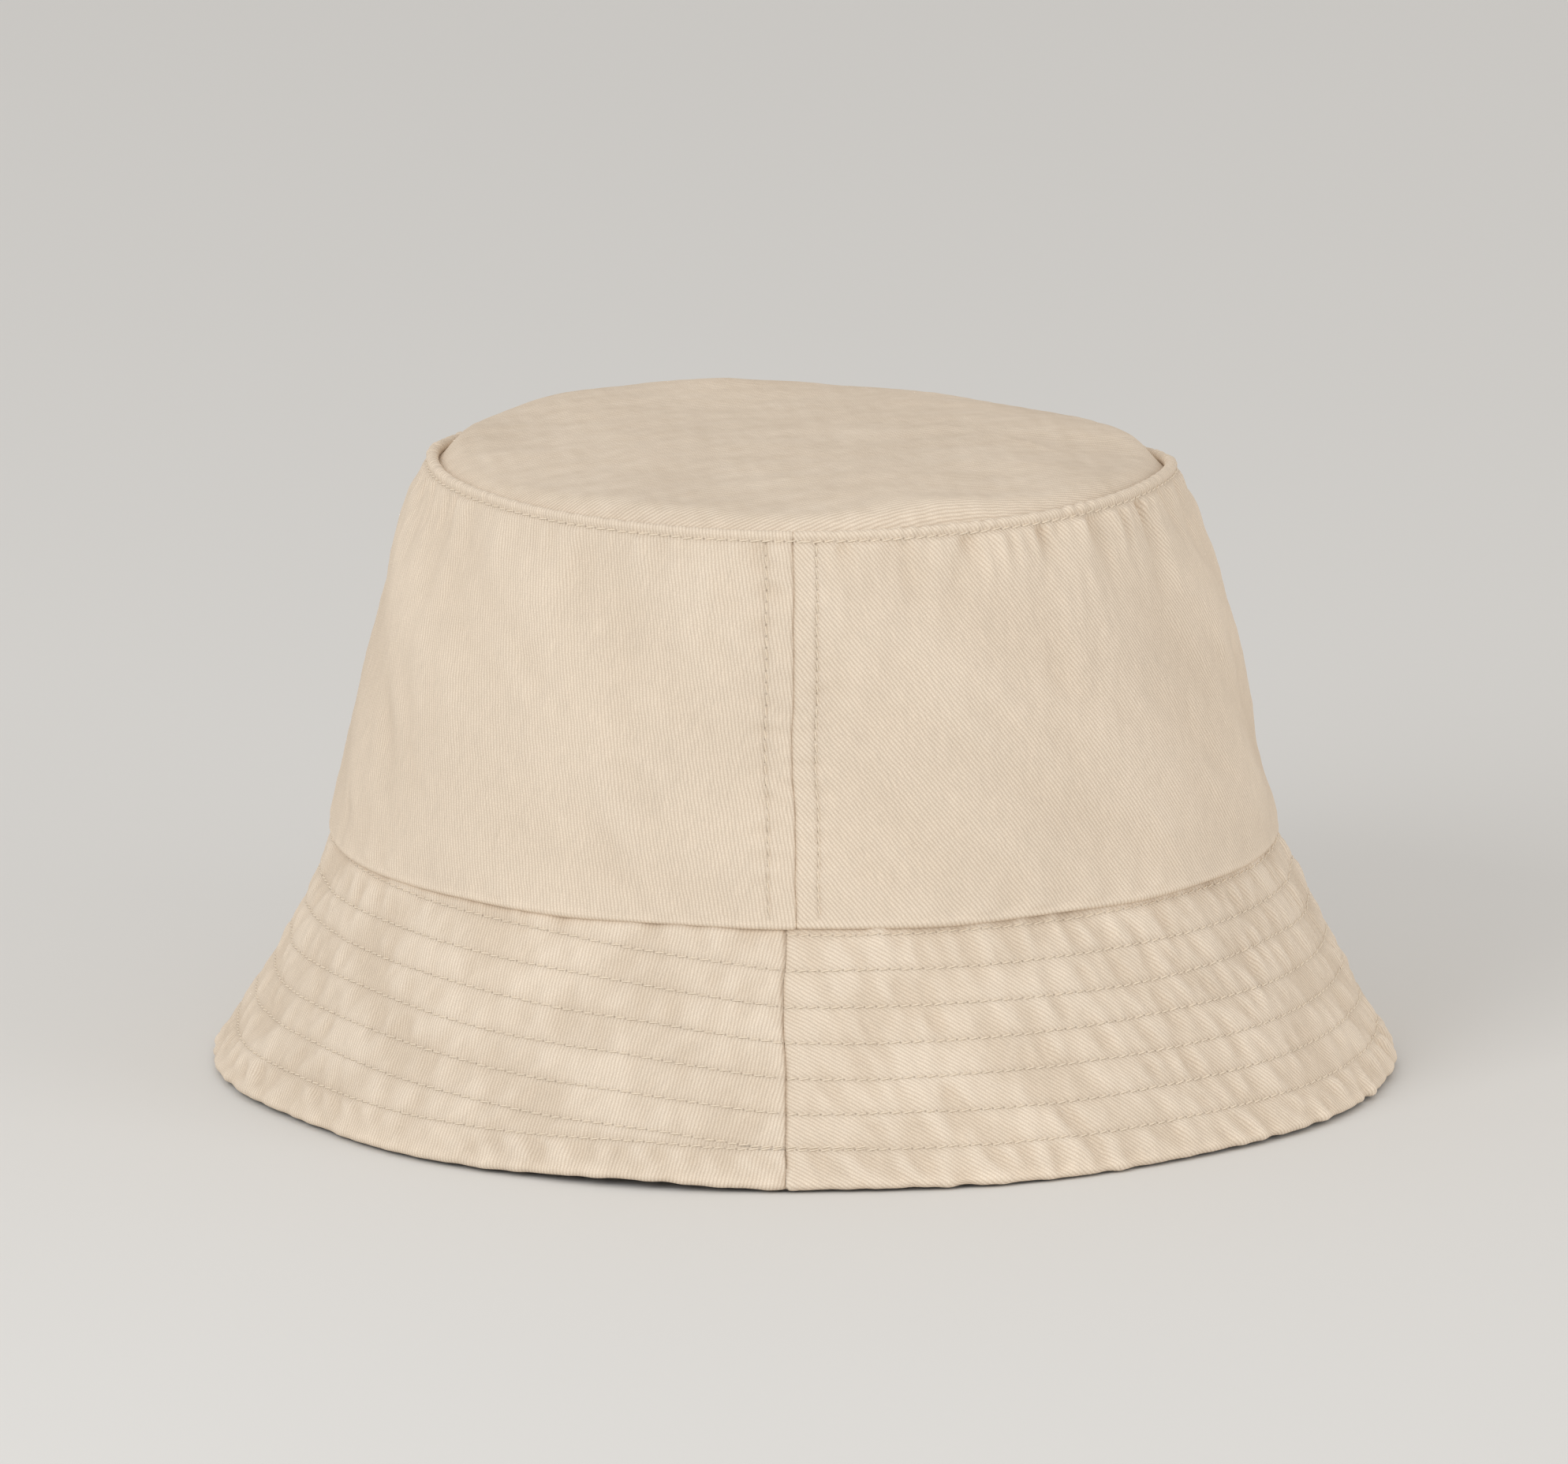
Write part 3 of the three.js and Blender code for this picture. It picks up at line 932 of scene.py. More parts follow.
def needle_group() -> bpy.types.NodeTree:
    """Node group: the marks that sewing leaves in cloth.

    Hole is 1 in the small round holes where the thread goes through: where the distance to the
    nearest whole stitch and the distance from the row together are small. Furrow is 1 on the row
    and fades beside it. The finishes paint shade with both: dark holes, and darker cloth along the row.
    """
    group, t, given = new_group(
        "needle_marks", {"Stitch": ("Vector", None), "Hole Size": ("Float", 0.24)}, ["Hole", "Furrow"])
    parts = t.node("SeparateXYZ", Vector=given.outputs["Stitch"])
    beside = t.math("ABSOLUTE", parts.outputs["Y"])
    whole = t.math("SUBTRACT", t.math("FRACT", t.math("ADD", parts.outputs["X"], 0.5)), 0.5)
    along = t.math("MULTIPLY", whole, STITCH_LENGTH)
    away = t.math("SQRT", t.math("ADD", t.math("MULTIPLY", along, along),
                                 t.math("MULTIPLY", beside, beside)))
    hole = t.math("SUBTRACT", 1.0, t.math("DIVIDE", away, given.outputs["Hole Size"]), clamp=True)
    furrow = t.math("POWER", 2.718, t.math("MULTIPLY", t.math("MULTIPLY", beside, beside), -1.6))
    close_group(t, {"Hole": t.math("POWER", hole, 0.6), "Furrow": furrow})
    return group


def wash_group() -> bpy.types.NodeTree:
    """Node group: how washing and wear have changed the cloth's tone, and where shade is painted into
    crevices.

    Tone is broad, soft clouds of noise with finer ones on them, around 0. Rubbed is 1 on edges
    that are worn pale, broken up by noise. The third output is 1 in the bottoms of seams and
    crevices, where shade is painted.
    """
    group, t, given = new_group(
        "wash_and_wear", {"Place": ("Vector", None), "Wear": ("Float", 0.0)}, ["Tone", "Rubbed", "Grime"])
    broad = t.noise(given.outputs["Place"], 24.0, 3.0, 0.55)
    fine = t.noise(given.outputs["Place"], 240.0, 3.0, 0.6)
    tone = t.vary(t.vary(0.0, fine, 0.5), broad, 1.0)
    wear = given.outputs["Wear"]
    rubbed = t.math("MULTIPLY", t.math("MAXIMUM", wear, 0.0), t.span(fine, 0.35, 0.65, 0.5, 1.0))
    crevice_shade = t.math("MAXIMUM", t.math("MULTIPLY", wear, -1.0), 0.0)
    close_group(t, {"Tone": tone, "Rubbed": rubbed, "Grime": crevice_shade})
    return group


def plain_group() -> bpy.types.NodeTree:
    """Node group: a plain weave, one over and one under.

    Height is the larger of two rows of rounded yarns, each pressed down on alternate crossings:
    the root of the product's size of two sines, with a checkerboard sign between the two sets.
    """
    group, t, given = new_group("plain_weave", {"Position": ("Vector", None), "Pitch": ("Float", 0.45)},
                                ["Height", "Gap"])
    parts = t.node("SeparateXYZ", Vector=given.outputs["Position"])
    turn = [t.math("MULTIPLY", t.math("DIVIDE", parts.outputs[axis], given.outputs["Pitch"]), np.pi)
            for axis in ("X", "Y")]
    x, y = (t.math("SINE", angle) for angle in turn)
    cross = t.math("MULTIPLY", x, y)
    height = t.math("SQRT", t.math("ABSOLUTE", cross))
    fuzz = t.noise(given.outputs["Position"], 4.0, 3.0, 0.7)
    height = t.vary(height, fuzz, 0.8)
    gap = t.math("SUBTRACT", 1.0, t.math("ABSOLUTE", cross), clamp=True)
    close_group(t, {"Height": height, "Gap": t.math("POWER", gap, 6.0)})
    return group


Colour = tuple[float, float, float, float]
# Painted shade for the bottoms of seams and crevices.
CREVICE_SHADE = (0.36, 0.25, 0.16, 1.0)
# Painted shade in the needle holes of the cloth and of the tapes.
NEEDLE_HOLE_SHADE = (0.38, 0.28, 0.20, 1.0)
TAPE_HOLE_SHADE = (0.25, 0.18, 0.12, 1.0)


class Finish:
    """A cloth finish: a material with its own node tree."""

    groups: dict[str, bpy.types.NodeTree] = {}

    @classmethod
    def group(cls, name: str) -> bpy.types.NodeTree:
        """The shared node group of that name, made the first time that it is asked for."""
        makers = {"twill": twill_group, "needle": needle_group, "wash": wash_group, "plain": plain_group}
        if name not in cls.groups:
            cls.groups[name] = makers[name]()
        return cls.groups[name]

    @staticmethod
    def start(name: str, roughness: float, sheen: float) -> tuple[Material, Tree, Node]:
        """A new material with a Principled shader and its output."""
        material = bpy.data.materials.new(name)
        material.use_nodes = True
        t = Tree(material.node_tree)
        shader = t.node("BsdfPrincipled", Roughness=roughness, Sheen_Weight=sheen, Sheen_Roughness=0.55,
                        Specular_IOR_Level=0.07)
        t.node("OutputMaterial", Surface=shader.outputs[0])
        return material, t, shader

    @classmethod
    def use(cls, t: Tree, name: str, **inputs: object) -> Node:
        """Places a shared group in a tree."""
        made = t.tree.nodes.new("ShaderNodeGroup")
        made.node_tree = cls.group(name)
        for key, value in inputs.items():
            t.feed(made.inputs[key.replace("_", " ")], value)
        return made

    @staticmethod
    def layer(t: Tree, name: str) -> Socket:
        """Two numbers that the mesh carries at each corner."""
        return t.node("UVMap", {"uv_map": name}).outputs[0]

    @staticmethod
    def carried(t: Tree, name: str) -> Socket:
        """A number that the mesh carries at each point."""
        return t.node("Attribute", {"attribute_name": name}).outputs["Fac"]

    @staticmethod
    def place(t: Tree) -> Socket:
        """The point's place in the hat, in metres."""
        return t.node("TexCoord").outputs["Object"]

    @classmethod
    def marks(cls, t: Tree) -> tuple[dict, dict]:
        """The outputs of the needle marks, and of washing, wear and painted crevice shade, at the point."""
        needle = cls.use(t, "needle", Stitch=cls.layer(t, "stitch")).outputs
        return needle, cls.use(t, "wash", Place=cls.place(t), Wear=cls.carried(t, "wear")).outputs

    @staticmethod
    def tint(t: Tree, colour: object, light: object) -> Socket:
        """A colour made lighter or darker by a number, or by three for red, green and blue."""
        red, green, blue = light if isinstance(light, list) else [light] * 3
        tint = t.node("CombineColor", Red=red, Green=green, Blue=blue).outputs[0]
        return t.mix(1.0, colour, tint, "MULTIPLY")

    @staticmethod
    def paint_shade(t: Tree, colour: object, mask: object, amount: float, shade_colour: Colour) -> Socket:
        """A colour turned towards a painted shade colour by an amount where a mask is 1."""
        return t.mix(t.math("MULTIPLY", mask, amount), colour, shade_colour)

    @staticmethod
    def bump(t: Tree, height: object, depth: float) -> Socket:
        """A normal that shows a height of up to depth millimetres."""
        return t.node("Bump", Strength=1.0, Distance=depth * MM, Height=height).outputs[0]


@dataclass(frozen=True)
class TwillFinish(Finish):
    """Washed cotton twill.

    Attributes:
        name: The material's name.
        rib: Colour of the ribs.
        valley: Colour between the ribs, darker than theirs: painted shade in the weave's valleys.
        relief: Depth of the weave, mm.
        pitch: Distance between ribs, mm.
        bleach_and_shade: How much paler the tops of puckers are and darker their valleys, in red, green and
            blue: part bleaching, part painted light and shade.
        clouds: How much the shade changes over broad clouds.
        slubs: How much it changes from yarn to yarn.
        grain: How much it changes from fibre to fibre.
        furrow: How much darker the cloth is along a row of stitching: painted shade in the row's furrow.
        rubbing: How much paler worn edges are.
    """

    name: str
    rib: Colour
    valley: Colour
    relief: float = 0.090
    pitch: float = 0.78
    bleach_and_shade: tuple[float, float, float] = (0.056, 0.067, 0.081)
    clouds: float = 0.16
    slubs: float = 0.26
    grain: float = 0.30
    furrow: float = 0.06
    rubbing: float = 0.07

    def make(self) -> Material:
        """Builds the material: ribs over valleys, tinted by washing and wear, with painted light and shade.
        """
        material, t, shader = self.start(self.name, 0.9, 0.015)
        weave = self.use(t, "twill", Position=self.layer(t, "weave"), Pitch=self.pitch).outputs
        needle, wash = self.marks(t)
        faded_and_shaded = self.carried(t, "fade")
        light = t.math("MULTIPLY_ADD", wash["Tone"], self.clouds, 1.0)
        light = t.vary(light, weave["Slub"], self.slubs)
        light = t.vary(light, weave["Grain"], self.grain)
        # Painted shade along each row of stitching.
        light = t.math("MULTIPLY_ADD", needle["Furrow"], -self.furrow, light)
        light = t.math("MULTIPLY_ADD", wash["Rubbed"], self.rubbing, light)
        # Painted shade: the valleys between the ribs are darker than the ribs.
        colour = t.mix(weave["Valley"], self.rib, self.valley)
        # Puckers paler on their tops and darker in their valleys: part bleaching by washing, part painted
        # light and shade.
        colour = self.tint(t, colour, [t.math("MULTIPLY_ADD", faded_and_shaded, part, light) for part in self.bleach_and_shade])
        # Painted shade in the bottoms of seams and crevices.
        colour = self.paint_shade(t, colour, wash["Grime"], 0.55, CREVICE_SHADE)
        # Painted shade in the needle holes.
        colour = self.paint_shade(t, colour, needle["Hole"], 0.6, NEEDLE_HOLE_SHADE)
        t.feed(shader.inputs["Base Color"], colour)

        rough = t.math("MULTIPLY_ADD", weave["Valley"], 0.08, 0.86)
        t.feed(shader.inputs["Roughness"], rough)
        height = t.math("MULTIPLY_ADD", needle["Hole"], -1.6, weave["Height"])
        t.feed(shader.inputs["Normal"], self.bump(t, height, self.relief))
        return material


@dataclass(frozen=True)
class PlainFinish(Finish):
    """A plain-woven cloth, such as a tape, an interlining or a woven label."""

    name: str
    colour: Colour
    gap: Colour
    pitch: float
    relief: float = 0.08
    roughness: float = 0.88
    sheen: float = 0.1

    def make(self) -> Material:
        """Builds the material: a plain weave with painted shade in its gaps, along its stitch rows and in its
        needle holes, and a cloudy tone.
        """
        material, t, shader = self.start(self.name, self.roughness, self.sheen)
        weave = self.use(t, "plain", Position=self.layer(t, "weave"), Pitch=self.pitch).outputs
        needle, wash = self.marks(t)
        light = t.math("MULTIPLY_ADD", wash["Tone"], 0.12, 1.0)
        # Painted shade along each row of stitching.
        light = t.math("MULTIPLY_ADD", needle["Furrow"], -0.06, light)
        # Painted shade in the gaps between the yarns.
        colour = self.tint(t, t.mix(weave["Gap"], self.colour, self.gap), light)
        # Painted shade in the needle holes.
        t.feed(shader.inputs["Base Color"], self.paint_shade(t, colour, needle["Hole"], 0.7, TAPE_HOLE_SHADE))
        t.feed(shader.inputs["Normal"], self.bump(t, weave["Height"], self.relief))
        return material


@dataclass(frozen=True)
class ThreadFinish(Finish):
    """Sewing thread of three twisted plies."""

    name: str
    colour: Colour
    shade: Colour

    def make(self) -> Material:
        """Builds the material: plies wind round the thread as it runs, dark between them."""
        material, t, shader = self.start(self.name, 0.75, 0.08)
        parts = t.node("SeparateXYZ", Vector=self.layer(t, "weave"))
        turns = t.math("MULTIPLY_ADD", parts.outputs["X"], 0.9, parts.outputs["Y"])
        ply = t.math("ABSOLUTE", t.math("SINE", t.math("MULTIPLY", turns, 3 * np.pi)))
        hairs = t.noise(self.place(t), 3500.0, 2.0, 0.7)
        tone = t.noise(self.place(t), 60.0, 2.0)
        colour = t.mix(t.math("POWER", ply, 0.5), self.shade, self.colour)
        t.feed(shader.inputs["Base Color"], self.tint(t, colour, t.vary(1.0, tone, 0.2)))
        height = t.math("MULTIPLY_ADD", hairs, 0.5, ply)
        t.feed(shader.inputs["Normal"], self.bump(t, height, 0.05))
        return material


@dataclass(frozen=True)
class FloorFinish(Finish):
    """A plain pale floor."""

    colour: Colour = (0.78, 0.77, 0.75, 1.0)

    def make(self) -> Material:
        """Builds the material: matte, with hardly visible clouds."""
        material, t, shader = self.start("studio_floor", 0.75, 0.0)
        cloud = t.noise(self.place(t), 3.0, 3.0)
        t.feed(shader.inputs["Base Color"], self.tint(t, self.colour, t.vary(1.0, cloud, 0.02)))
        return material


@dataclass
class Finishes:
    """Every finish of the hat, made once."""

    twill: Material
    lining: Material
    tape: Material
    interlining: Material
    label: Material
    thread: Material

    @classmethod
    def make(cls) -> "Finishes":
        """Makes the six materials."""
        return cls(
            twill=TwillFinish("washed_twill", (0.854, 0.736, 0.598, 1.0), (0.656, 0.538, 0.420, 1.0)).make(),
            lining=TwillFinish("sweatband_twill", (0.84, 0.72, 0.58, 1.0), (0.645, 0.53, 0.415, 1.0),
                               relief=0.09, pitch=0.55).make(),
            tape=PlainFinish("bias_tape", (0.80, 0.69, 0.56, 1.0), (0.52, 0.42, 0.32, 1.0), 0.42).make(),
            interlining=PlainFinish("stiff_interlining", (0.86, 0.84, 0.80, 1.0), (0.6, 0.58, 0.54, 1.0),
                                    0.6).make(),
            label=PlainFinish("woven_label", (0.87, 0.85, 0.80, 1.0), (0.70, 0.68, 0.63, 1.0), 0.16,
                              relief=0.03, roughness=0.5, sheen=0.05).make(),
            thread=ThreadFinish("sewing_thread", (0.90, 0.775, 0.62, 1.0), (0.78, 0.65, 0.50, 1.0)).make(),
        )


# ---- crown ----


@dataclass(frozen=True)
class CrownWaves:
    """The irregular waves in the crown's side, each by what it makes."""

    crowding: Waves = Waves(11, 40, 90)
    gathers: Waves = Waves(12, 4.2, 9.5, 0.12, 0.32, 26)
    pleats: Waves = Waves(13, 9, 20, -0.1, 0.4, 26)
    pleat_reach: Waves = Waves(21, 14, 40)
    wrinkles: Waves = Waves(14, 24, 60, 0.55, 0.7)
    creases: Waves = Waves(15, 8, 17, 0.75, 0.4, 26)
    creased_patches: Waves = Waves(16, 50, 90)
    crumples: Waves = Waves(17, 3, 6)
    low_ripples: Waves = Waves(18, 7, 14, 0.0, 0.4)
    low_puffs: Waves = Waves(22, 30, 80)
    row_puckers: Waves = Waves(19, 4.5, 8, np.pi / 2, 0.35)
    seam_crinkles: Waves = Waves(23, 3.4, 7, 1.2, 0.6, 24)
    ridge_ripples: Waves = Waves(20, 3.2, 7.0, 0.0, 0.25)


@dataclass(frozen=True)
class TipWaves:
    """The irregular waves in the crown's tip, each by what it makes."""

    stuffing: Waves = Waves(31, 50, 110)
    folds: Waves = Waves(32, 34, 80, 0.9, 1.0)
    dimples: Waves = Waves(33, 9, 22)
    rim_puckers: Waves = Waves(36, 4, 9, 0.0, 0.3)
    mottle: Waves = Waves(37, 4, 12)
    bleaching: Waves = Waves(38, 18, 50)


TIP_FILLS = (Bell(-1.3, 0.42, 1.8), Bell(-2.35, 0.35, 0.4), Bell(2.45, 0.4, 0.9), Bell(0.8, 0.5, 1.3))


@dataclass
class Crown:
    """The crown's two side panels, its tip, the tapes inside it and its stitching."""

    form: HatForm
    finishes: Finishes
    cone_turn: float = 0.178
    lower_overhang: float = -0.35
    lower_roll: float = 0.65
    ridge_roll: float = 1.25
    ridge_drop: float = 1.3
    edge_row_drop: float = 2.3
    seam_rows: tuple[float, float] = (-5.8, 4.9)
    seam_rows_foot: float = 1.0
    seam_rows_gap: float = 0.6  # below the edge row
    gather: float = 0.26
    pleat: float = 0.28
    wrinkle: float = 0.42
    crease: float = 0.17
    row_pucker: float = 0.17
    row_depth: float = 0.24
    seam_depth: float = 0.32
    edge_depth: float = 0.30
    wall: float = CLOTH
    waves: CrownWaves = CrownWaves()
    tip_waves: TipWaves = TipWaves()

    def __post_init__(self) -> None:
        """Works out the side's profile and the surface that carries its relief."""
        self.mean_radius = 0.5 * (self.form.base_radius + self.form.top_radius)
        self.profile = self.side_profile()
        self.side_length = float(self.profile.runs[-1] - self.ridge_drop - np.pi * self.ridge_roll)
        self.edge_row = self.side_length - self.edge_row_drop + self.ridge_roll
        self.surface = Surface(self.form, self.profile, self.relief)

    def side_profile(self) -> Profile:
        """The side's line: a rolled lower edge, the wall, and a ridge that rolls over inwards and
        drops into the crevice round the tip."""
        form = self.form
        low = form.brim_height - self.lower_overhang + self.lower_roll
        ridge_z = form.crown_top - self.ridge_roll
        z = np.linspace(low, ridge_z + 0.3 * self.ridge_roll, 200)
        r = form.crown_radius(z)

        def frame_at(i: int, j: int) -> tuple[Array, Array]:
            along = np.array([r[j] - r[i], z[j] - z[i]])
            along /= np.linalg.norm(along)
            return np.array([along[1], -along[0]]), along

        out, along = frame_at(0, 1)
        middle = np.array([r[0], z[0]]) - self.lower_roll * out
        low_r, low_z = arc(*middle, out, along, self.lower_roll, -0.9 * np.pi, 0.0)
        out, along = frame_at(-2, -1)
        middle = np.array([r[-1], z[-1]]) - self.ridge_roll * out
        top_r, top_z = arc(*middle, out, along, self.ridge_roll, 0.0, np.pi)
        end = np.array([top_r[-1], top_z[-1]]) - self.ridge_drop * along
        radius = np.concatenate([low_r[:-1], r, top_r[1:], [end[0]]])
        height = np.concatenate([low_z[:-1], z, top_z[1:], [end[1]]])
        return Profile(radius, height, start=len(low_r) - 1)

    def arc_length(self, theta: Array) -> Array:
        """Length round the crown at mid height, mm, from the right seam, for the waves."""
        return self.mean_radius * ((theta - Side.RIGHT.value) % (2 * np.pi))

    def relief(self, theta: Array, run: Array) -> Array:
        """Height of the cloth over the plain wall, mm: gathers and wrinkles, which the side seams
        hold flat, then the lower edge, the side seams themselves and the ridge."""
        u = self.arc_length(theta)
        free = 1 - 0.85 * hump(np.cos(theta) * self.mean_radius, 3.0)
        lift = (self.gathers(theta, u, run) + self.wrinkles(theta, u, run)) * free
        lift += (0.3 + 0.2 * self.waves.low_puffs(u, run * 0)) * np.exp(-np.clip(run, 0, None) / 2.5)
        for side in Side:
            lift += self.side_seam(theta, run, side)
        return lift + self.ridge(u, run)

    def front_share(self, theta: Array) -> Array:
        """1 on the front half, where the cloth is more crumpled, and 0 on the back half."""
        return smooth(0.5 + 1.2 * np.cos(theta))

    def slack(self, run: Array) -> Array:
        """1 on the wall and 0 at its two edges, where the seams hold the cloth."""
        return smooth(run / 12) * smooth((self.side_length - run) / 10)

    def gathers(self, theta: Array, u: Array, run: Array) -> Array:
        """Gathers under the edge row: short ones that fade within several millimetres, crowded
        here and there, and pleats that reach further down. Both are deeper in front."""
        waves, front = self.waves, self.front_share(theta)
        below = self.edge_row - run
        down = np.clip(below, 0, None)
        crowd = 0.75 + 0.35 * waves.crowding(u, run * 0)
        reach = 13 + 12 * smooth(0.5 + 0.7 * waves.pleat_reach(u, run * 0))
        short = (self.gather + 0.14 * front) * waves.gathers(u, run) * crowd * np.exp(-down / 6.5)
        long = (self.pleat + 0.3 * front) * waves.pleats(u, run) * np.exp(-down / reach)
        return (short + long) * np.clip(below / 1.5, 0, 1)

    def wrinkles(self, theta: Array, u: Array, run: Array) -> Array:
        """Broad wrinkles over the wall, sharper creases in patches, and ripples at its foot."""
        waves = self.waves
        patch = smooth(0.4 + 0.5 * waves.creased_patches(u, run) + 0.3 * self.front_share(theta))
        wall = self.wrinkle * waves.wrinkles(u, run) + self.crease * waves.creases(u, run) * patch
        wall += 0.03 * waves.crumples(u, run)
        foot = np.exp(-np.clip(run, 0, None) / 7) * smooth(run / 2)
        return wall * self.slack(run) + 0.22 * waves.low_ripples(u, run) * foot

    def side_seam(self, theta: Array, run: Array, side: Side) -> Array:
        """One side seam: the turned-in cloth stands proud as far as its rows of stitching, with
        small puckers across them, and both the seam and the rows sink in."""
        waves, slack = self.waves, self.slack(run)
        wall = smooth(run / 1.5) * smooth((self.side_length + 2 - run) / 2)
        x = seam_distance(theta, side, self.local_radius(run))
        inside = np.where(x < 0, x / self.seam_rows[0], x / self.seam_rows[1])
        lift = 0.24 * smooth((1.06 - inside) / 0.26) * wall
        lift += self.row_pucker * hump(inside - 1.0, 0.55) * waves.row_puckers(x, run) * slack
        lift += 0.09 * smooth((1.7 - inside) / 0.7) * waves.seam_crinkles(x, run) * slack
        lift -= self.seam_depth * hump(x, 0.24) + 0.06 * hump(x, 1.1)
        for place in self.seam_rows:
            lift -= self.row_depth * hump(x - place, 0.55) * wall * (run < self.edge_row)
        return lift

    def ridge(self, u: Array, run: Array) -> Array:
        """The edge row sinks in, and the ridge over it swells out, with small ripples."""
        below = self.edge_row - run
        swell = 0.30 * hump(below + 1.9, 1.1) - self.edge_depth * hump(below, 0.75)
        over = smooth(-below / 0.8) * smooth((below + 5.5) / 2)
        return swell + 0.10 * self.waves.ridge_ripples(u, run * 0) * over

    def local_radius(self, run: Array) -> Array:
        """Half length of the wall at a run."""
        return np.interp(run, self.profile.runs, self.profile.radius)

    def run_at(self, height: Array | float) -> Array:
        """Run on the wall at a height below the ridge's roll."""
        wall = slice(self.profile.start, -40)
        return np.interp(height, self.profile.height[wall], self.profile.runs[wall])

    def rows(self) -> dict[str, StitchRow]:
        """The edge row, all round, and the two rows beside each side seam."""
        theta = np.linspace(-np.pi / 2 + 0.02, 1.5 * np.pi + 0.05, 1500)
        made = {"edge": StitchRow(self.surface, theta, np.full(theta.shape, self.edge_row))}
        run = np.linspace(self.edge_row - self.seam_rows_gap, self.seam_rows_foot, 200)
        for side in Side:
            for place in self.seam_rows:
                angle = side.value + place / self.local_radius(run)
                front = (place > 0) == (side is Side.RIGHT)
                name = f"{side.name.lower()}_{'front' if front else 'back'}"
                made[name] = StitchRow(self.surface, angle, run)
        return made

    def stitch_map(self, theta: Array, run: Array, rows: dict[str, StitchRow]) -> Array:
        """Phase and distance of the nearest row at each point of a panel."""
        edge = rows["edge"]
        top = self.edge_row - self.seam_rows_gap
        turned = (theta - edge.theta[0]) % (2 * np.pi) + edge.theta[0]
        between = np.zeros(theta.shape, dtype=bool)
        found = []
        for side in Side:
            x = seam_distance(theta, side, self.local_radius(run))
            between |= (x > self.seam_rows[0]) & (x < self.seam_rows[1])
            for place, sign in zip(self.seam_rows, (1, -1)):
                down = np.clip(top - run, 0, None) / STITCH_LENGTH
                away = np.where((run < self.edge_row) & (run > self.seam_rows_foot), x - place, FAR)
                found.append((down, sign * away))
        side_of_edge = np.where(between, -1, 1) * (run - self.edge_row)
        return nearest([(edge.phase(turned), side_of_edge), *found])

    def panel(self, half: Half, rows: dict[str, StitchRow]) -> Piece:
        """One side panel: its outside, ridge and inside as one closed cloth."""
        radius = self.form.base_radius
        clear = SEAM_GAP / radius
        middle = half.value
        reach = np.pi / 2 * radius
        x = spread(-reach, reach, 0.66, 0.16, [-reach, -reach + 5.4, reach - 5.4, reach], 0.9)
        theta = middle + np.clip(x / radius, clear - np.pi / 2, np.pi / 2 - clear)
        runs = self.profile.runs
        run = spread(runs[0], runs[-1], 0.72, 0.2, [self.edge_row, self.side_length + 1.5, 0.0], 1.6)
        theta, run = np.meshgrid(theta, run, indexing="ij")
        cone = Cone(self.cone_turn, middle, self.mean_radius, self.side_length / 2)
        points = self.surface.place(theta, run)
        weave = cone.flat(theta, run)
        ridge = hump(run - self.side_length - 1.8, 1.5)
        low = hump(run - 0.2, 0.7)
        seam = sum(hump(seam_distance(theta, side, self.local_radius(run)), 0.5) for side in Side)
        crevice = smooth((run - runs[-1] + 1.4) / 1.0)
        # Paler where rubbed on the ridge and the lower edge; painted shade in the side seams and down in the
        # crevice round the tip.
        wear = 0.9 * ridge + 0.6 * low - 0.35 * seam - crevice
        # Paler where the relief stands out and darker in its hollows, seams and stitch furrows: part
        # bleaching, part painted light and shade.
        fade = np.clip(0.55 * (self.relief(theta, run) - 0.1), -1, 1) * smooth(run / 3)
        outer = Sheet(points, weave, self.stitch_map(theta, run, rows), np.clip(wear, -1, 1), fade)

        share = (run - runs[0]) / (runs[-1] - runs[0])
        back_run = 0.4 + share * (self.side_length - 1.0)
        back = self.surface.place(theta, back_run, -self.wall)
        inner = Sheet(back, cone.flat(theta, back_run))
        return lay(half.node("crown_side"), outer, inner, self.finishes.twill)

    def tip_height(self, x: Array, y: Array) -> Array:
        """Height of the tip's cloth over its rim at a point of the plan.

        A flat pillow, stuffed more at some angles than at others, that rolls down into the
        crevice at its rim. Long soft folds and small dimples fade towards the rim, which has
        puckers of its own, and one crease lies near the front. The distance from the rim is
        worked out from how far out the point is on its own oval.
        """
        rim, oval, waves = self.tip_rim, self.form.oval, self.tip_waves
        share = np.hypot(x / rim, y / (rim - oval))
        away = (1 - share) * (rim - oval / 2)
        theta = np.arctan2(y, x)
        far = smooth(3.0 * np.sin(theta) + 0.2)
        uneven = 0.35 * waves.stuffing(85 * theta, 0 * theta) * np.abs(np.cos(theta / 2))
        stuffed = 2.5 + added(TIP_FILLS, theta) + 1.5 * far + uneven
        swell = stuffed * (1 - hump(away, 4.4 - 1.6 * far)) + (3.9 - stuffed) * smooth((away - 6) / 34)
        folds = (0.28 * waves.folds(x, y) + 0.07 * waves.dimples(x, y)) * smooth(away / 9)
        pucker = 0.05 * waves.rim_puckers(80 * theta, 0.3 * away) * np.exp(-away / 5)
        dome = 0.6 * (1 - share ** 2)
        sunk = 0.9 * hump(away, 1.3)
        return dome + swell + folds + self.tip_crease(x, y) + pucker * smooth(away / 1.2) - sunk

    def tip_crease(self, x: Array, y: Array) -> Array:
        """One slightly wavy crease, 50 mm in front of the middle and slanting to the right."""
        along = (x - 50.0) * 0.83 - y * 0.56
        across = (x - 50.0) * 0.56 + y * 0.83 + 0.7 * np.sin(along / 6)
        return 0.34 * hump(across, 1.5) * hump(along, 20) * (0.6 + 0.4 * np.cos(along / 3.5))

    @property
    def tip_rim(self) -> float:
        """Half length of the tip where it meets the ridge's inner face."""
        return float(self.profile.radius[-1]) - 0.12

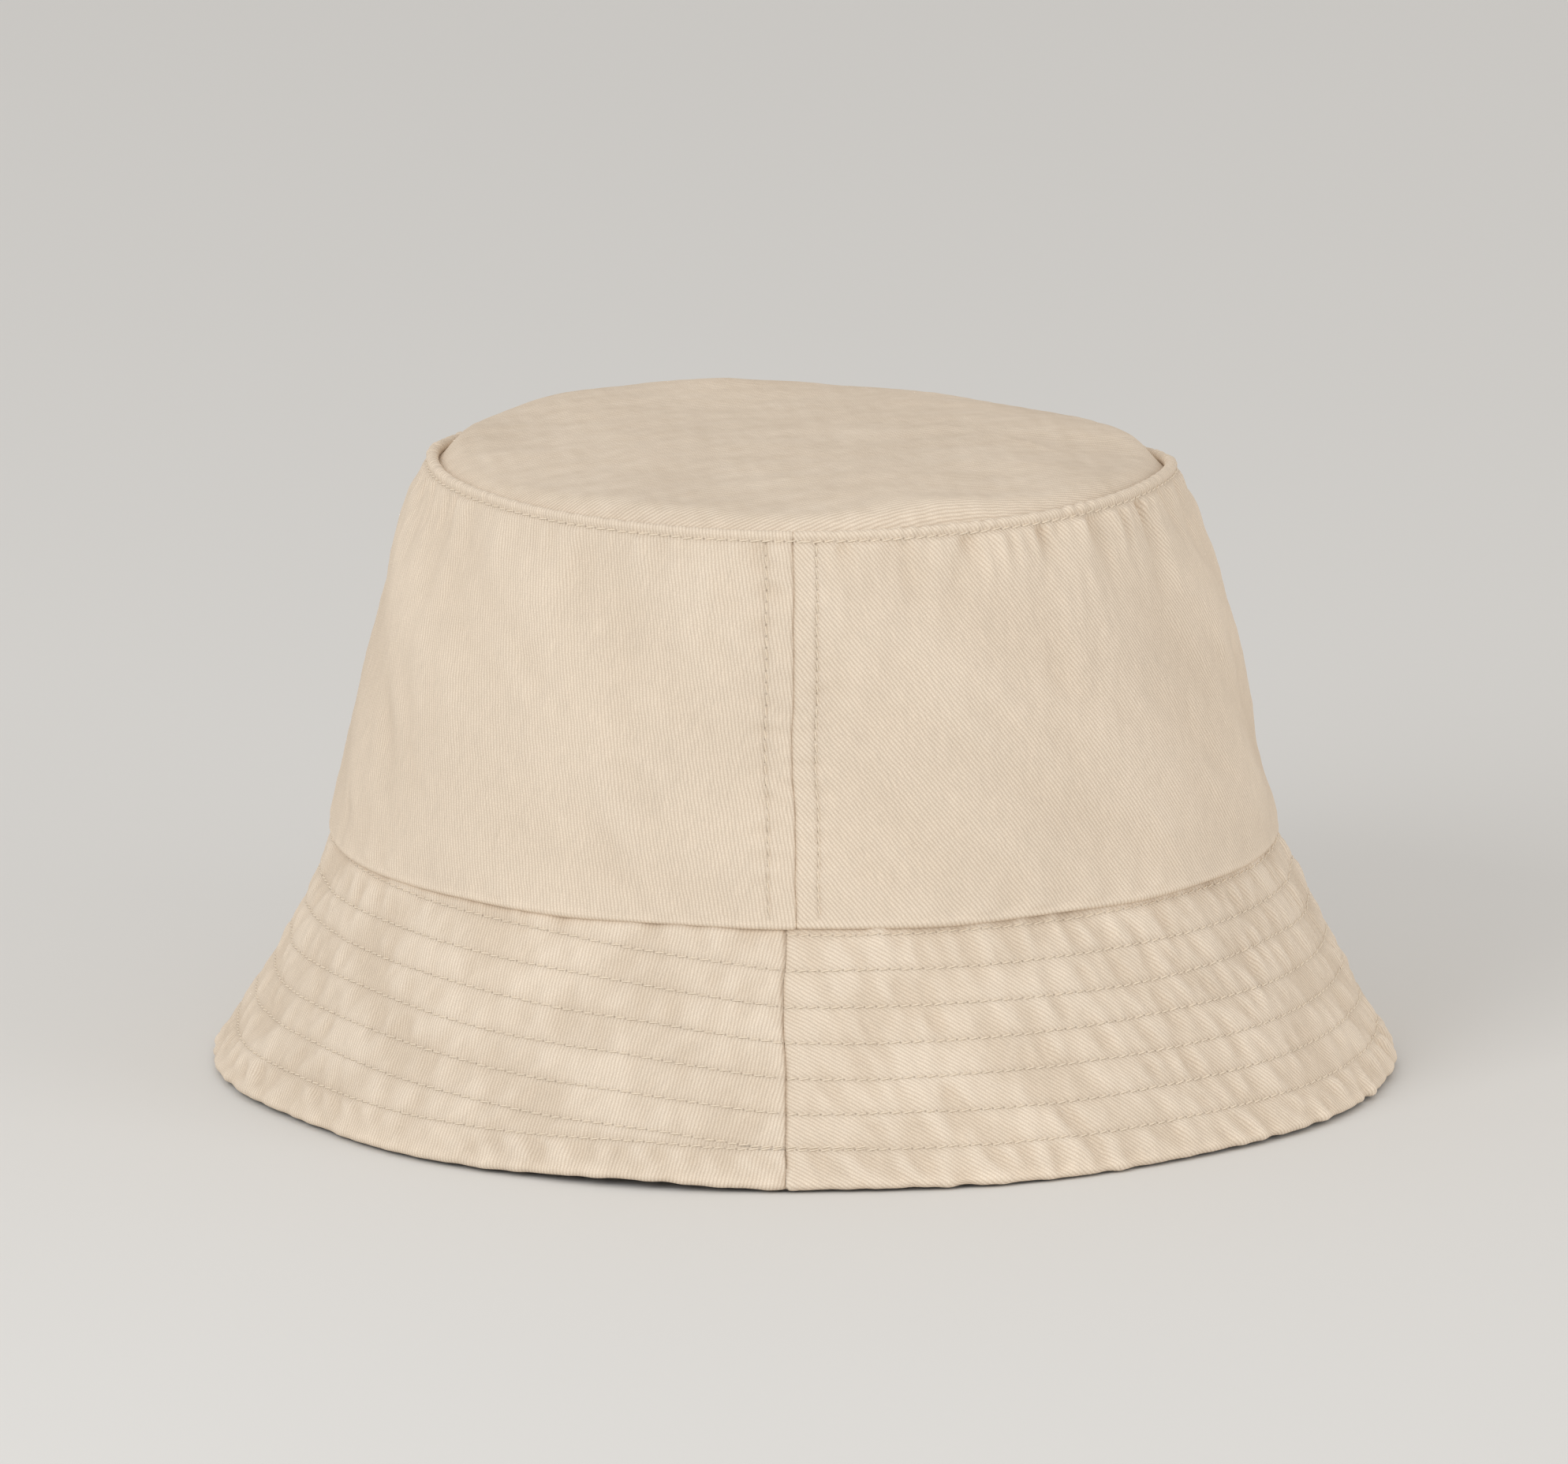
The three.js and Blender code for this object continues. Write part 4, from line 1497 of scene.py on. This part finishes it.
    def tip(self) -> Piece:
        """The tip: a square grid mapped to the oval, so that it has no pole.

        x is a times the root of (1 less half of b squared), and y the same with a and b changed
        over, where a and b are sines of the grid's own parameters, closer together at the rim.
        """
        rim = self.tip_rim
        g = np.linspace(-np.pi / 2, np.pi / 2, 241)
        a, b = np.meshgrid(np.sin(g), np.sin(g), indexing="ij")
        x = rim * a * np.sqrt(1 - b * b / 2)
        y = (rim - self.form.oval) * b * np.sqrt(1 - a * a / 2)
        theta = np.arctan2(y, x)
        level = self.form.crown_top - 1.15
        z = level + self.tip_height(x, y)
        lean = self.form.dip(theta, np.full(x.shape, self.form.crown_top))
        share = np.hypot(x / rim, y / (rim - self.form.oval))
        push = self.form.slouch(theta, np.full(x.shape, self.form.crown_top)) * share ** 3
        sag = self.form.far_sag(theta)
        low = (lean + sag) * share ** 2 - sag * share ** 8
        points = np.stack([x + push * np.cos(theta) - LEAN_BACK * z, y + push * np.sin(theta), z + low],
                          axis=-1)
        weave = np.stack([-y, x], axis=-1)
        away = (1 - share) * rim
        # Rubbed paler a little inside the rim; painted shade at the rim, down in the crevice.
        wear = 0.4 * hump(away - 3.0, 2.0) - smooth((1.0 - away) / 0.8)
        fade = np.clip(0.24 * self.tip_waves.mottle(x, y) + 0.2 * self.tip_waves.bleaching(x, y), -1, 1)
        outer = Sheet(points, weave, None, wear, fade)
        inner = Sheet(points - np.array([0, 0, self.wall]), weave)
        return lay("crown_tip", outer, inner, self.finishes.twill)

    def edge_tape(self) -> Piece:
        """The bias tape over the raw edges under the ridge, slightly padded by what it covers."""
        low, high = (corner[2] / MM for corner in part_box("crown_edge_tape"))
        span = self.run_at([low, high])
        length = float(span[1] - span[0])

        def padded(theta: Array, run: Array) -> Array:
            puff = 0.5 * np.sqrt(np.clip(4 * (run / length) * (1 - run / length), 0, 1))
            follow = self.relief(theta, np.minimum(run + span[0], self.edge_row - 1.0))
            return follow - self.wall - 0.75 - puff - 0.10 * Waves(41, 3, 9, 0, 0.4)(80 * theta, run)

        z = np.linspace(low, high, 40)
        surface = Surface(self.form, Profile(self.form.crown_radius(z), z), padded)
        return self.ring("crown_edge_tape", surface, length, self.finishes.tape, "tape",
                         rows=[0.9, length - 0.9])

    def ring(self, node: str, surface: Surface, length: float, material: Material, slot: str,
             rows: list[float], wall: float = 0.45) -> Piece:
        """A closed band inside the hat whose face looks inwards.

        Args:
            node: The node that it stands for.
            surface: The band's visible face.
            length: Width of the band.
            material: Its finish.
            slot: Not used.
            rows: Runs at which it is stitched.
            wall: Its thickness.

        Returns:
            The piece.
        """
        theta = np.linspace(0, 2 * np.pi, 721)
        run = spread(0, length, 0.7, 0.25, [0.0, length, *rows], 0.7)
        theta, run = np.meshgrid(theta, run, indexing="ij")
        mean = float(surface.profile.radius.mean())
        weave = np.stack([mean * theta, run], axis=-1)
        found = [(mean * theta / STITCH_LENGTH, sign * (run - row)) for row, sign in zip(rows, (1, -1))]
        face = Sheet(surface.place(theta, run), weave, nearest(found), 0.5 * hump(run, 0.7))
        back = Sheet(surface.place(theta, run, wall), weave)
        return lay(node, face.turned(), back.turned(), material, around=True)

    def seam_tape(self, side: Side) -> Piece:
        """The tape that covers one side seam's raw edges on the inside."""
        node = f"side_seam_tape_{side.name.lower()}"
        low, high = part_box(node)
        width = (high[0] - low[0]) / MM
        runs = np.array([low[2], high[2]]) / MM - self.form.brim_height
        x = spread(-width / 2, width / 2, 0.6, 0.2, [-width / 2, width / 2], 0.6)
        run = spread(runs[0], runs[1], 0.8, 0.3, [float(runs[0]), float(runs[1])], 0.6)
        x, run = np.meshgrid(x, run, indexing="ij")
        theta = side.value + x / self.local_radius(run)
        edge = np.clip(1 - np.abs(2 * x / width), 0, 1)
        puff = 0.35 * np.sqrt(np.clip(edge * 8, 0, 1)) + 0.12 * Waves(42, 4, 10)(x, run)
        lift = -self.wall - 0.35 - puff
        face = Sheet(self.surface.place(theta, run, lift), np.stack([x, run], axis=-1))
        back = Sheet(self.surface.place(theta, run, -self.wall - 0.15), face.weave)
        return lay(node, face.turned(), back.turned(), self.finishes.tape)

    def build(self) -> None:
        """Makes every piece of the crown."""
        rows = self.rows()
        for half in Half:
            self.panel(half, rows)
        self.tip()
        self.edge_tape()
        for side in Side:
            self.seam_tape(side)
        sew("crown_edge_stitches", [rows["edge"]], self.finishes.thread, ["crown_edge_stitch"], 500)
        for name in ("right_front", "right_back", "left_front", "left_back"):
            sew(f"side_seam_stitches_{name}", [rows[name]], self.finishes.thread,
                [f"side_seam_stitch_{name}"], 520)


# ---- brim ----


@dataclass(frozen=True)
class BrimWaves:
    """The irregular waves in one of the brim's cloths; the seed tells the cloths apart."""

    seed: int

    def slanted(self, u: Array, run: Array) -> Array:
        """Short and longer puckers that slant across the rows."""
        return (0.75 * Waves(self.seed, 4.6, 9.0, 0.42, 0.42, 28)(u, run)
                + 0.6 * Waves(self.seed + 5, 9, 18, 0.5, 0.5)(u, run))

    def upright(self, u: Array, run: Array) -> Array:
        """Short and longer puckers that stand across the rows."""
        return (0.7 * Waves(self.seed + 1, 5.5, 11.0, -0.2, 0.6, 28)(u, run)
                + 0.7 * Waves(self.seed + 6, 11, 24)(u, run))

    def folds(self, u: Array, run: Array, front: Array) -> Array:
        """Narrow folds along the level lines of a wave that slants in front and stands behind."""
        wave = np.where(front > 0.5, Waves(self.seed + 7, 11, 24, 0.7, 0.35)(u, run),
                        Waves(self.seed + 8, 11, 24, -0.3, 0.5)(u, run))
        return hump(wave - 0.4, 0.22)

    def blotches(self, u: Array, run: Array) -> Array:
        """Broad swells."""
        return Waves(self.seed + 2, 16, 40)(u, run)

    def roping(self, u: Array, run: Array) -> Array:
        """Slanting ripples along the hem."""
        return Waves(self.seed + 3, 5.5, 11.0, 0.5, 0.3, 22)(u, run)

    def crumples(self, u: Array, run: Array) -> Array:
        """Very small waves."""
        return Waves(self.seed + 4, 2.5, 5)(u, run)


@dataclass
class Brim:
    """The brim: two cloths with an interlining between them, stitched through in one spiral."""

    form: HatForm
    finishes: Finishes
    cone_turn: float = 0.42
    hem_roll: float = 1.15
    tuck: float = 5.0
    thickness: float = 2.3
    hem_row: float = 7.4
    pitch: float = 7.86
    turns: int = 6
    climb_share: float = 0.193
    seam_shift: float = -2.3
    wall: float = CLOTH
    top_seed: int = 60
    under_seed: int = 70
    top_furrow: float = 0.24
    under_furrow: float = 0.36
    puff: float = 0.11
    pucker: float = 0.21
    fold: float = 0.09
    blotch: float = 0.22
    rope: float = 0.27
    row_gap: float = 0.55  # between two rows where one starts beside the other

    def __post_init__(self) -> None:
        """Works out the profile, the two faces and the rows."""
        self.profile = self.top_profile()
        self.mean_radius = 0.5 * (self.form.base_radius + self.form.hem_radius)
        self.top = Surface(self.form, self.profile, self.top_relief)
        self.under = Surface(self.form, self.profile, self.under_relief)
        self.crown_run = float(np.interp(self.form.brim_height, self.profile.height[self.profile.start:],
                                         self.profile.runs[self.profile.start:]))
        self.paths = self.row_paths()

    def top_profile(self) -> Profile:
        """The top cloth's line: round the hem from below, up the brim, and in under the crown."""
        form = self.form
        foot = 1.52 * self.hem_roll
        z = np.linspace(foot, form.brim_height, 200)
        r = form.brim_radius(z - foot * 0.6)
        along = np.array([r[1] - r[0], z[1] - z[0]])
        along /= np.linalg.norm(along)
        out = np.array([along[1], -along[0]])
        middle = np.array([r[0], z[0]]) - self.hem_roll * out
        hem_r, hem_z = arc(*middle, out, along, self.hem_roll, -0.86 * np.pi, 0.0)
        lean = np.linspace(0, self.tuck, 20)[1:]
        radius = np.concatenate([hem_r[:-1], r, r[-1] - 0.17 * lean])
        height = np.concatenate([hem_z[:-1], z, z[-1] + lean])
        return Profile(radius, height, start=len(hem_r) - 1)

    def turn_share(self, theta: Array) -> Array:
        """Share of a turn from the right seam, towards the front, round to an angle."""
        start = Side.RIGHT.value + self.seam_shift / self.mean_radius
        return ((theta - start) / (2 * np.pi)) % 1.0

    def row_paths(self) -> list[tuple[Array, Array]]:
        """Each row as shares of a turn and runs: the hem row first, level all round. The others
        start at whole pitches over it, and come down by a pitch behind the right seam."""
        share = np.linspace(0, 1, 1601)
        down = np.clip((share - 1 + self.climb_share) / self.climb_share, 0, 1) ** 2
        rows = [(share, np.full(share.shape, self.hem_row))]
        for number in range(1, self.turns + 1):
            level = self.hem_row + self.pitch * (number - down)
            if number == 1:
                level = np.maximum(level, self.hem_row + self.row_gap)
            drift = 0.22 * Waves(50 + number, 60, 160)(share * 740, 0 * share) * smooth(share / 0.05)
            rows.append((share, level + drift * smooth((1 - share) / 0.05)))
        overlap = np.linspace(0.0003, 0.026, 60)
        rows.append((overlap, np.full(overlap.shape, self.hem_row + self.row_gap)))
        return rows

    def path_distances(self, theta: Array, run: Array) -> list[Array]:
        """Signed distance along the brim from each row at each point."""
        share = self.turn_share(theta)
        return [run - np.interp(share, s, r) for s, r in self.paths[:-1]]

    def waves_at(self, theta: Array) -> Array:
        """Length round the brim, mm, from the right seam, for the waves."""
        return self.turn_share(theta) * 2 * np.pi * self.mean_radius

    def quilting(self, theta: Array, run: Array, seed: int, depth: float) -> Array:
        """Relief of a stitched cloth, mm: it puffs up between rows and sinks in at them.

        The puff is 1 less a bell of the distance to the nearest row. It carries puckers that lie
        across the rows, slanted on the front half, and that the stitching holds down.
        """
        away = np.min(np.abs(np.stack(self.path_distances(theta, run))), axis=0)
        u = self.waves_at(theta)
        waves = BrimWaves(seed)
        puff = 1 - hump(away, 2.1)
        held = 0.55 + 0.45 * puff
        front = smooth(0.5 + 2.5 * np.cos(theta))
        pucker = waves.slanted(u, run) * front + waves.upright(u, run) * (1 - front)
        hem = smooth((self.hem_row - run) / 2) * smooth((run - 0.3) / 4)
        lift = self.puff * puff + (self.pucker + 0.10 * front) * pucker * held
        lift -= (self.fold + 0.08 * front) * waves.folds(u, run, front) * held
        lift += self.blotch * waves.blotches(u, run) * smooth(run / 8)
        lift += self.rope * waves.roping(u, run) * hem
        lift -= depth * hump(away, 0.72) + 0.03 * waves.crumples(u, run)
        return lift * smooth((self.crown_run + 3 - run) / 3) * smooth((run + 3.5) / 3.5)

    def seam_distances(self, theta: Array, run: Array) -> list[Array]:
        """Signed distance from each side seam; the right one lies off the hat's middle line."""
        shifts = {Side.RIGHT: self.seam_shift, Side.LEFT: 0.0}
        return [seam_distance(theta, side, self.local_radius(run), shifts[side]) for side in Side]

    def seam_groove(self, theta: Array, run: Array) -> Array:
        """The groove at both side seams, with the pressed seam slightly raised beside it."""
        return sum(0.16 * smooth((6.5 - np.abs(x)) / 3) - 0.36 * hump(x, 0.26) - 0.12 * hump(x, 1.1)
                   for x in self.seam_distances(theta, run))

    def local_radius(self, run: Array) -> Array:
        """Half length of the brim at a run."""
        return np.interp(run, self.profile.runs, self.profile.radius)

    def top_relief(self, theta: Array, run: Array) -> Array:
        """Relief of the top cloth."""
        theta, run = np.broadcast_arrays(theta, run)
        return self.quilting(theta, run, self.top_seed, self.top_furrow) + self.seam_groove(theta, run)

    def under_relief(self, theta: Array, run: Array) -> Array:
        """Relief of the under cloth's visible face, as a height over the same profile."""
        theta, run = np.broadcast_arrays(theta, run)
        quilted = self.quilting(theta, run, self.under_seed, self.under_furrow) + self.seam_groove(theta, run)
        return -self.thickness - quilted

    def stitch_map(self, theta: Array, run: Array) -> Array:
        """Phase and distance of the nearest row at each point."""
        share = self.turn_share(theta)
        found = []
        for number, (away, row) in enumerate(zip(self.path_distances(theta, run), self.rows(self.top))):
            phase = np.interp(share, self.paths[number][0], row.lengths) / STITCH_LENGTH
            found.append((phase, away if number % 2 else -away))
        return nearest(found)

    def rows(self, surface: Surface, inward: bool = False) -> list[StitchRow]:
        """The rows as stitching on one face of the brim."""
        start = Side.RIGHT.value + self.seam_shift / self.mean_radius
        return [StitchRow(surface, start + 2 * np.pi * share, run, inward) for share, run in self.paths]

    def grid(self, half: Half, low: float, high: float) -> tuple[Array, Array]:
        """Angles and runs over one half of the brim, closer together at the seams and edges."""
        radius = self.mean_radius
        shift = self.seam_shift / radius
        first = half.value - np.pi / 2 + (shift if half is Half.FRONT else 0.0)
        last = half.value + np.pi / 2 + (shift if half is Half.BACK else 0.0)
        clear = SEAM_GAP / radius
        x = spread(first * radius, last * radius, 0.74, 0.18, [first * radius, last * radius], 0.9)
        theta = np.clip(x / radius, first + clear, last - clear)
        run = spread(low, high, 0.62, 0.3, [0.0], 1.5)
        return np.meshgrid(theta, run, indexing="ij")

    def finish_sheet(self, points: Array, theta: Array, run: Array, half: Half, seed: int) -> Sheet:
        """A face with its flat position, its stitch map, its wear with painted shade in seams and crevices,
        and its fading with painted light and shade.
        """
        cone = Cone(self.cone_turn, half.value, self.mean_radius, self.crown_run / 2)
        seam = sum(hump(x, 0.5) for x in self.seam_distances(theta, run))
        crevice = smooth((run - self.crown_run + 1.2) / 1.6)
        # Rubbed paler at the hem; painted shade in the side seams and in the crevice under the crown's edge.
        wear = 0.8 * hump(run, 1.3) - 0.6 * seam - 0.7 * crevice
        # Paler on the puffs and puckers, darker by the rows and in the valleys: part bleaching, part painted
        # light and shade.
        fade = np.clip(2.4 * (self.quilting(theta, run, seed, 0.0) - 0.08), -1, 1)
        return Sheet(points, cone.flat(theta, run), self.stitch_map(theta, run), np.clip(wear, -1, 1), fade)

    def top_half(self, half: Half) -> Piece:
        """Half of the top cloth, rolled round the hem."""
        runs = self.profile.runs
        theta, run = self.grid(half, float(runs[0]), float(runs[-1]))
        outer = self.finish_sheet(self.top.place(theta, run), theta, run, half, self.top_seed)
        inner_run = np.maximum(run, -0.6)
        inner = Sheet(self.top.place(theta, inner_run, -self.wall), outer.weave)
        return lay(half.node("brim_top"), outer, inner, self.finishes.twill)

    def under_half(self, half: Half) -> Piece:
        """Half of the under cloth, seen from below."""
        theta, run = self.grid(half, 0.2, float(self.profile.runs[-1]))
        face = self.finish_sheet(self.under.place(theta, run), theta, run, half, self.under_seed)
        back = Sheet(self.under.place(theta, run, self.wall), face.weave)
        return lay(half.node("brim_under"), face.turned(), back.turned(), self.finishes.twill)

    def interlining_half(self, half: Half) -> Piece:
        """Half of the stiff layer: it lies midway between the two cloths' hidden faces."""
        theta, run = self.grid(half, 5.0, self.crown_run - 1.0)
        theta, run = theta[::4, ::4], run[::4, ::4]
        rows, columns = 4 * ((np.array(theta.shape) - 1) // 4) + 1
        theta, run = theta[:rows, :columns], run[:rows, :columns]
        upper = self.top.place(theta, run, -self.wall)
        lower = self.under.place(theta, run, self.wall)
        cone = Cone(self.cone_turn, half.value, self.mean_radius, self.crown_run / 2)
        weave = cone.flat(theta, run)
        outer = Sheet(0.75 * upper + 0.25 * lower, weave)
        inner = Sheet(0.25 * upper + 0.75 * lower, weave)
        return lay(half.node("brim_interlining"), outer, inner, self.finishes.interlining,
                   stride=1)

    def build(self) -> None:
        """Makes every piece of the brim."""
        for half in Half:
            self.top_half(half)
            self.interlining_half(half)
            self.under_half(half)
        sew("brim_spiral_stitches_top", self.rows(self.top), self.finishes.thread,
            ["brim_spiral_stitch"], 600)
        sew("brim_spiral_stitches_under", self.rows(self.under, inward=True), self.finishes.thread,
            ["brim_spiral_stitch"], 640)


# ---- inside ----

HINGE_GAP = 0.1  # between the care label and its root, so that they don't rub


@dataclass
class Inside:
    """The sweatband and the two labels."""

    form: HatForm
    finishes: Finishes
    crown: Crown
    stitch_rise: float = 3.2
    label_inset: float = 1.6  # of the rows at the main label's ends

    def __post_init__(self) -> None:
        """Works out the sweatband's face from the frame's box for it."""
        low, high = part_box("sweatband")
        z = np.linspace(low[2] / MM + 0.9, high[2] / MM, 60)
        offset = self.form.crown_radius(z[0]) - high[0] / MM + 0.75
        self.profile = Profile(self.form.crown_radius(z) - offset, z)
        self.width = float(self.profile.runs[-1])
        self.face = Surface(self.form, self.profile, self.band_relief)

    def band_relief(self, theta: Array, run: Array) -> Array:
        """The band lies close at its stitched lower edge and stands off a little, in waves, at
        its free upper edge; both edges are rounded and the row of stitching sinks in."""
        u = self.profile.radius.mean() * wrapped(theta)
        free = smooth((run - 6) / 24)
        waves = -0.35 * free * (1 + 0.8 * Waves(81, 40, 90)(u, 0 * run))
        waves -= 0.10 * Waves(82, 6, 14, 0, 0.5)(u, run)
        edge = np.clip(np.minimum(run, self.width - run) / 0.6, 0, 1)
        round_edge = 0.4 * (1 - np.sqrt(1 - (1 - edge) ** 2))
        return waves + round_edge + 0.30 * hump(run - self.stitch_rise, 0.7)

    def sweatband(self) -> None:
        """The sweatband and its row of stitching."""
        self.crown.ring("sweatband", self.face, self.width, self.finishes.lining, "sweatband",
                        rows=[self.stitch_rise], wall=0.8)
        theta = np.linspace(0.03, 2 * np.pi + 0.03, 1200)
        row = StitchRow(self.face, theta, np.full(theta.shape, self.stitch_rise), inward=True)
        sew("sweatband_stitches", [row], self.finishes.thread, ["sweatband_stitch"], 700)

    def main_label(self) -> None:
        """The blank label on the back of the sweatband, hemmed and stitched down at both ends."""
        low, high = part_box("main_label")
        half_width = high[1] / MM
        first = low[2] / MM - self.profile.height[0]
        height = (high[2] - low[2]) / MM
        y = spread(-half_width, half_width, 0.5, 0.2, [-half_width, half_width], 0.6)
        s = spread(0, height, 0.5, 0.2, [0.0, height], 0.6)
        y, s = np.meshgrid(y, s, indexing="ij")
        reach = self.profile.radius.mean() - self.form.oval
        theta = np.pi + np.arcsin(y / reach)
        ends = hump(half_width - np.abs(y) - self.label_inset, 0.6)
        hem = smooth((half_width - np.abs(y)) / 0.3) * smooth((3.4 - half_width + np.abs(y)) / 0.5)
        edge = smooth(np.minimum(np.minimum(s, height - s), half_width - np.abs(y)) / 0.35)
        bow = 0.25 * np.sin(np.pi * s / height) * (1 - (y / half_width) ** 2)
        lift = -0.35 - 0.22 * edge - 0.12 * hem - bow + 0.15 * ends
        weave = np.stack([y, s], axis=-1)
        phase = s / STITCH_LENGTH
        marks = nearest([(phase, side * y - half_width + self.label_inset) for side in (-1, 1)])
        face = Sheet(self.face.place(theta, first + s, lift), weave, marks)
        back = Sheet(self.face.place(theta, first + s, -0.16), weave)
        piece = lay("main_label", face.turned(), back.turned(), self.finishes.label)

        rows = []
        run = np.linspace(first + 0.5, first + height - 0.4, 60)
        for side in (-1, 1):
            angle = np.pi + np.arcsin(side * (half_width - self.label_inset) / reach)
            rows.append(StitchRow(self.face, np.full(run.shape, angle), run, inward=True))
        sew("main_label_stitches", rows, self.finishes.thread, ["main_label"], 720, lift=-0.55)

    def care_label(self) -> None:
        """The blank care label: a ribbon folded double that hangs from the edge tape.

        Across it lies flat with slightly raised edges; down it curves gently out of its plane.
        """
        low, high = (np.array(corner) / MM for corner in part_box("care_label"))
        middle = 0.5 * (low[0] + high[0])
        half_width = high[1]
        drop = high[2] - low[2]
        y = spread(-half_width, half_width, 0.6, 0.2, [-half_width, half_width], 0.6)
        s = spread(0, drop, 0.6, 0.2, [0.0, drop, 2.0], 0.7)
        y, s = np.meshgrid(y, s, indexing="ij")
        share = s / drop
        curve = 1.3 * np.sin(np.pi * share * 0.9) * share + 0.25 * np.sin(4.0 * share + y / 9) * share
        edge = smooth(np.minimum(np.minimum(half_width - np.abs(y), drop - s), s + 0.1) / 0.5)
        weave = np.stack([y, s], axis=-1)

        def side(offset: Array) -> Array:
            return np.stack([middle + curve + offset, y, high[2] - HINGE_GAP - s], axis=-1)

        thick = 0.08 + 0.17 * edge
        piece = lay("care_label", Sheet(side(-thick), weave), Sheet(side(thick), weave),
                    self.finishes.label, stride=1, body="care_label")
        root = self.care_label_root(middle, half_width, high[2])

    def care_label_root(self, middle: float, half_width: float, top: float) -> Piece:
        """The sewn-in end of the care label: it slopes from the hinge line up into the tape.

        Its points go straight from the label's plane to a line inside the tape, which lies off
        the crown's wall by the cloth and most of the tape.

        Args:
            middle: Where the label's plane is along the hat.
            half_width: Half of the label's width.
            top: Height of the label's upper edge.

        Returns:
            The piece.
        """
        crown = self.crown
        y, t = np.meshgrid(np.linspace(-half_width, half_width, 49), np.linspace(0, 1, 9), indexing="ij")
        run = crown.run_at(top + 2.2)
        theta = np.pi - np.arcsin(y / (crown.local_radius(run) - self.form.oval))
        upper = crown.surface.place(theta, np.full(y.shape, run), -crown.wall - 1.1)
        lower = np.stack([np.full(y.shape, middle - HINGE_GAP), y, np.full(y.shape, top + HINGE_GAP / 2)],
                         axis=-1)
        points = lower + t[..., None] * (upper - lower)
        thick = (0.06 + 0.08 * t)[..., None] * np.array([1.0, 0.0, 0.0])
        weave = np.stack([y, -3.0 * t], axis=-1)
        return lay("crown_edge_tape", Sheet(points + thick, weave), Sheet(points - thick, weave),
                   self.finishes.label, piece="care_label_root", stride=1)

    def build(self) -> None:
        """Makes every piece inside the hat."""
        self.sweatband()
        self.main_label()
        self.care_label()


# ---- studio ----


@dataclass(frozen=True)
class Studio:
    """A pale floor, soft lights and the camera."""

    distance: float = 6.0
    elevation: float = np.radians(14.15)
    view_width: float = 0.338
    aim: tuple[float, float, float] = (-0.0046, 0.0, 0.0728)
    world: float = 0.68
    world_colour: Colour = (1.0, 0.98, 0.955, 1.0)
    key: float = 13.5
    key_colour: Colour = (0.965, 0.985, 1.0, 1.0)
    fill: float = 6.6
    fill_colour: Colour = (1.0, 0.995, 0.985, 1.0)
    floor_rings: tuple[float, ...] = (0.0, 200, 800, 2500, 9000, 40000)  # radii, mm

    def camera(self) -> None:
        """Looks along +Y and slightly down, with the hat nearly filling the width."""
        data = bpy.data.cameras.new("camera")
        data.lens = data.sensor_width * self.distance / self.view_width
        data.clip_end = 60.0
        camera = bpy.data.objects.new("camera", data)
        target = Vector(self.aim)
        away = Vector((0, -np.cos(self.elevation), np.sin(self.elevation)))
        camera.location = target + self.distance * away
        camera.rotation_euler = (target - camera.location).to_track_quat("-Z", "Y").to_euler()
        bpy.context.scene.collection.objects.link(camera)
        bpy.context.scene.camera = camera

    def light(self, name: str, place: tuple[float, float, float], size: float, power: float,
              colour: Colour) -> None:
        """A square soft light that looks at the hat."""
        data = bpy.data.lights.new(name, "AREA")
        data.size = size
        data.energy = power
        data.color = colour[:3]
        lamp = bpy.data.objects.new(name, data)
        lamp.location = place
        lamp.rotation_euler = (Vector((0, 0, 0.07)) - lamp.location).to_track_quat("-Z", "Y").to_euler()
        bpy.context.scene.collection.objects.link(lamp)

    def floor(self) -> None:
        """A wide round floor under the hat: rings of points about the middle."""
        theta, radius = np.meshgrid(np.linspace(0, 2 * np.pi, 97), self.floor_rings, indexing="ij")
        points = np.stack([radius * np.cos(theta), radius * np.sin(theta), 0 * radius - 0.05], axis=-1)
        maker = MeshMaker()
        ids = maker.add_points(Sheet(points, points[..., :2]))
        ids[-1] = ids[0]
        maker.faces.append(grid_quads(ids[:, 1:], flip=True))
        maker.faces.append(ids[:-1, 1][None, :])
        maker.build("studio_floor", FloorFinish().make())

    def build(self) -> None:
        """Sets up the floor, the world, the lights and the camera."""
        scene = bpy.context.scene
        scene.view_settings.view_transform = "Standard"
        world = bpy.data.worlds.new("studio")
        world.use_nodes = True
        background = world.node_tree.nodes["Background"]
        background.inputs["Color"].default_value = self.world_colour
        background.inputs["Strength"].default_value = self.world
        scene.world = world
        self.light("key", (-1.12, -1.33, 1.0), 1.0, self.key, self.key_colour)
        self.light("fill", (1.45, -0.95, 0.45), 1.0, self.fill, self.fill_colour)
        self.floor()
        self.camera()


def main() -> None:
    """Builds the studio and then the hat, from the crown down and inwards."""
    logging.basicConfig(level=logging.INFO, format="%(message)s")
    Studio().build()
    form = HatForm.from_frame()
    finishes = Finishes.make()
    crown = Crown(form, finishes)
    crown.build()
    Brim(form, finishes).build()
    Inside(form, finishes, crown).build()


if __name__ == "__main__":
    main()
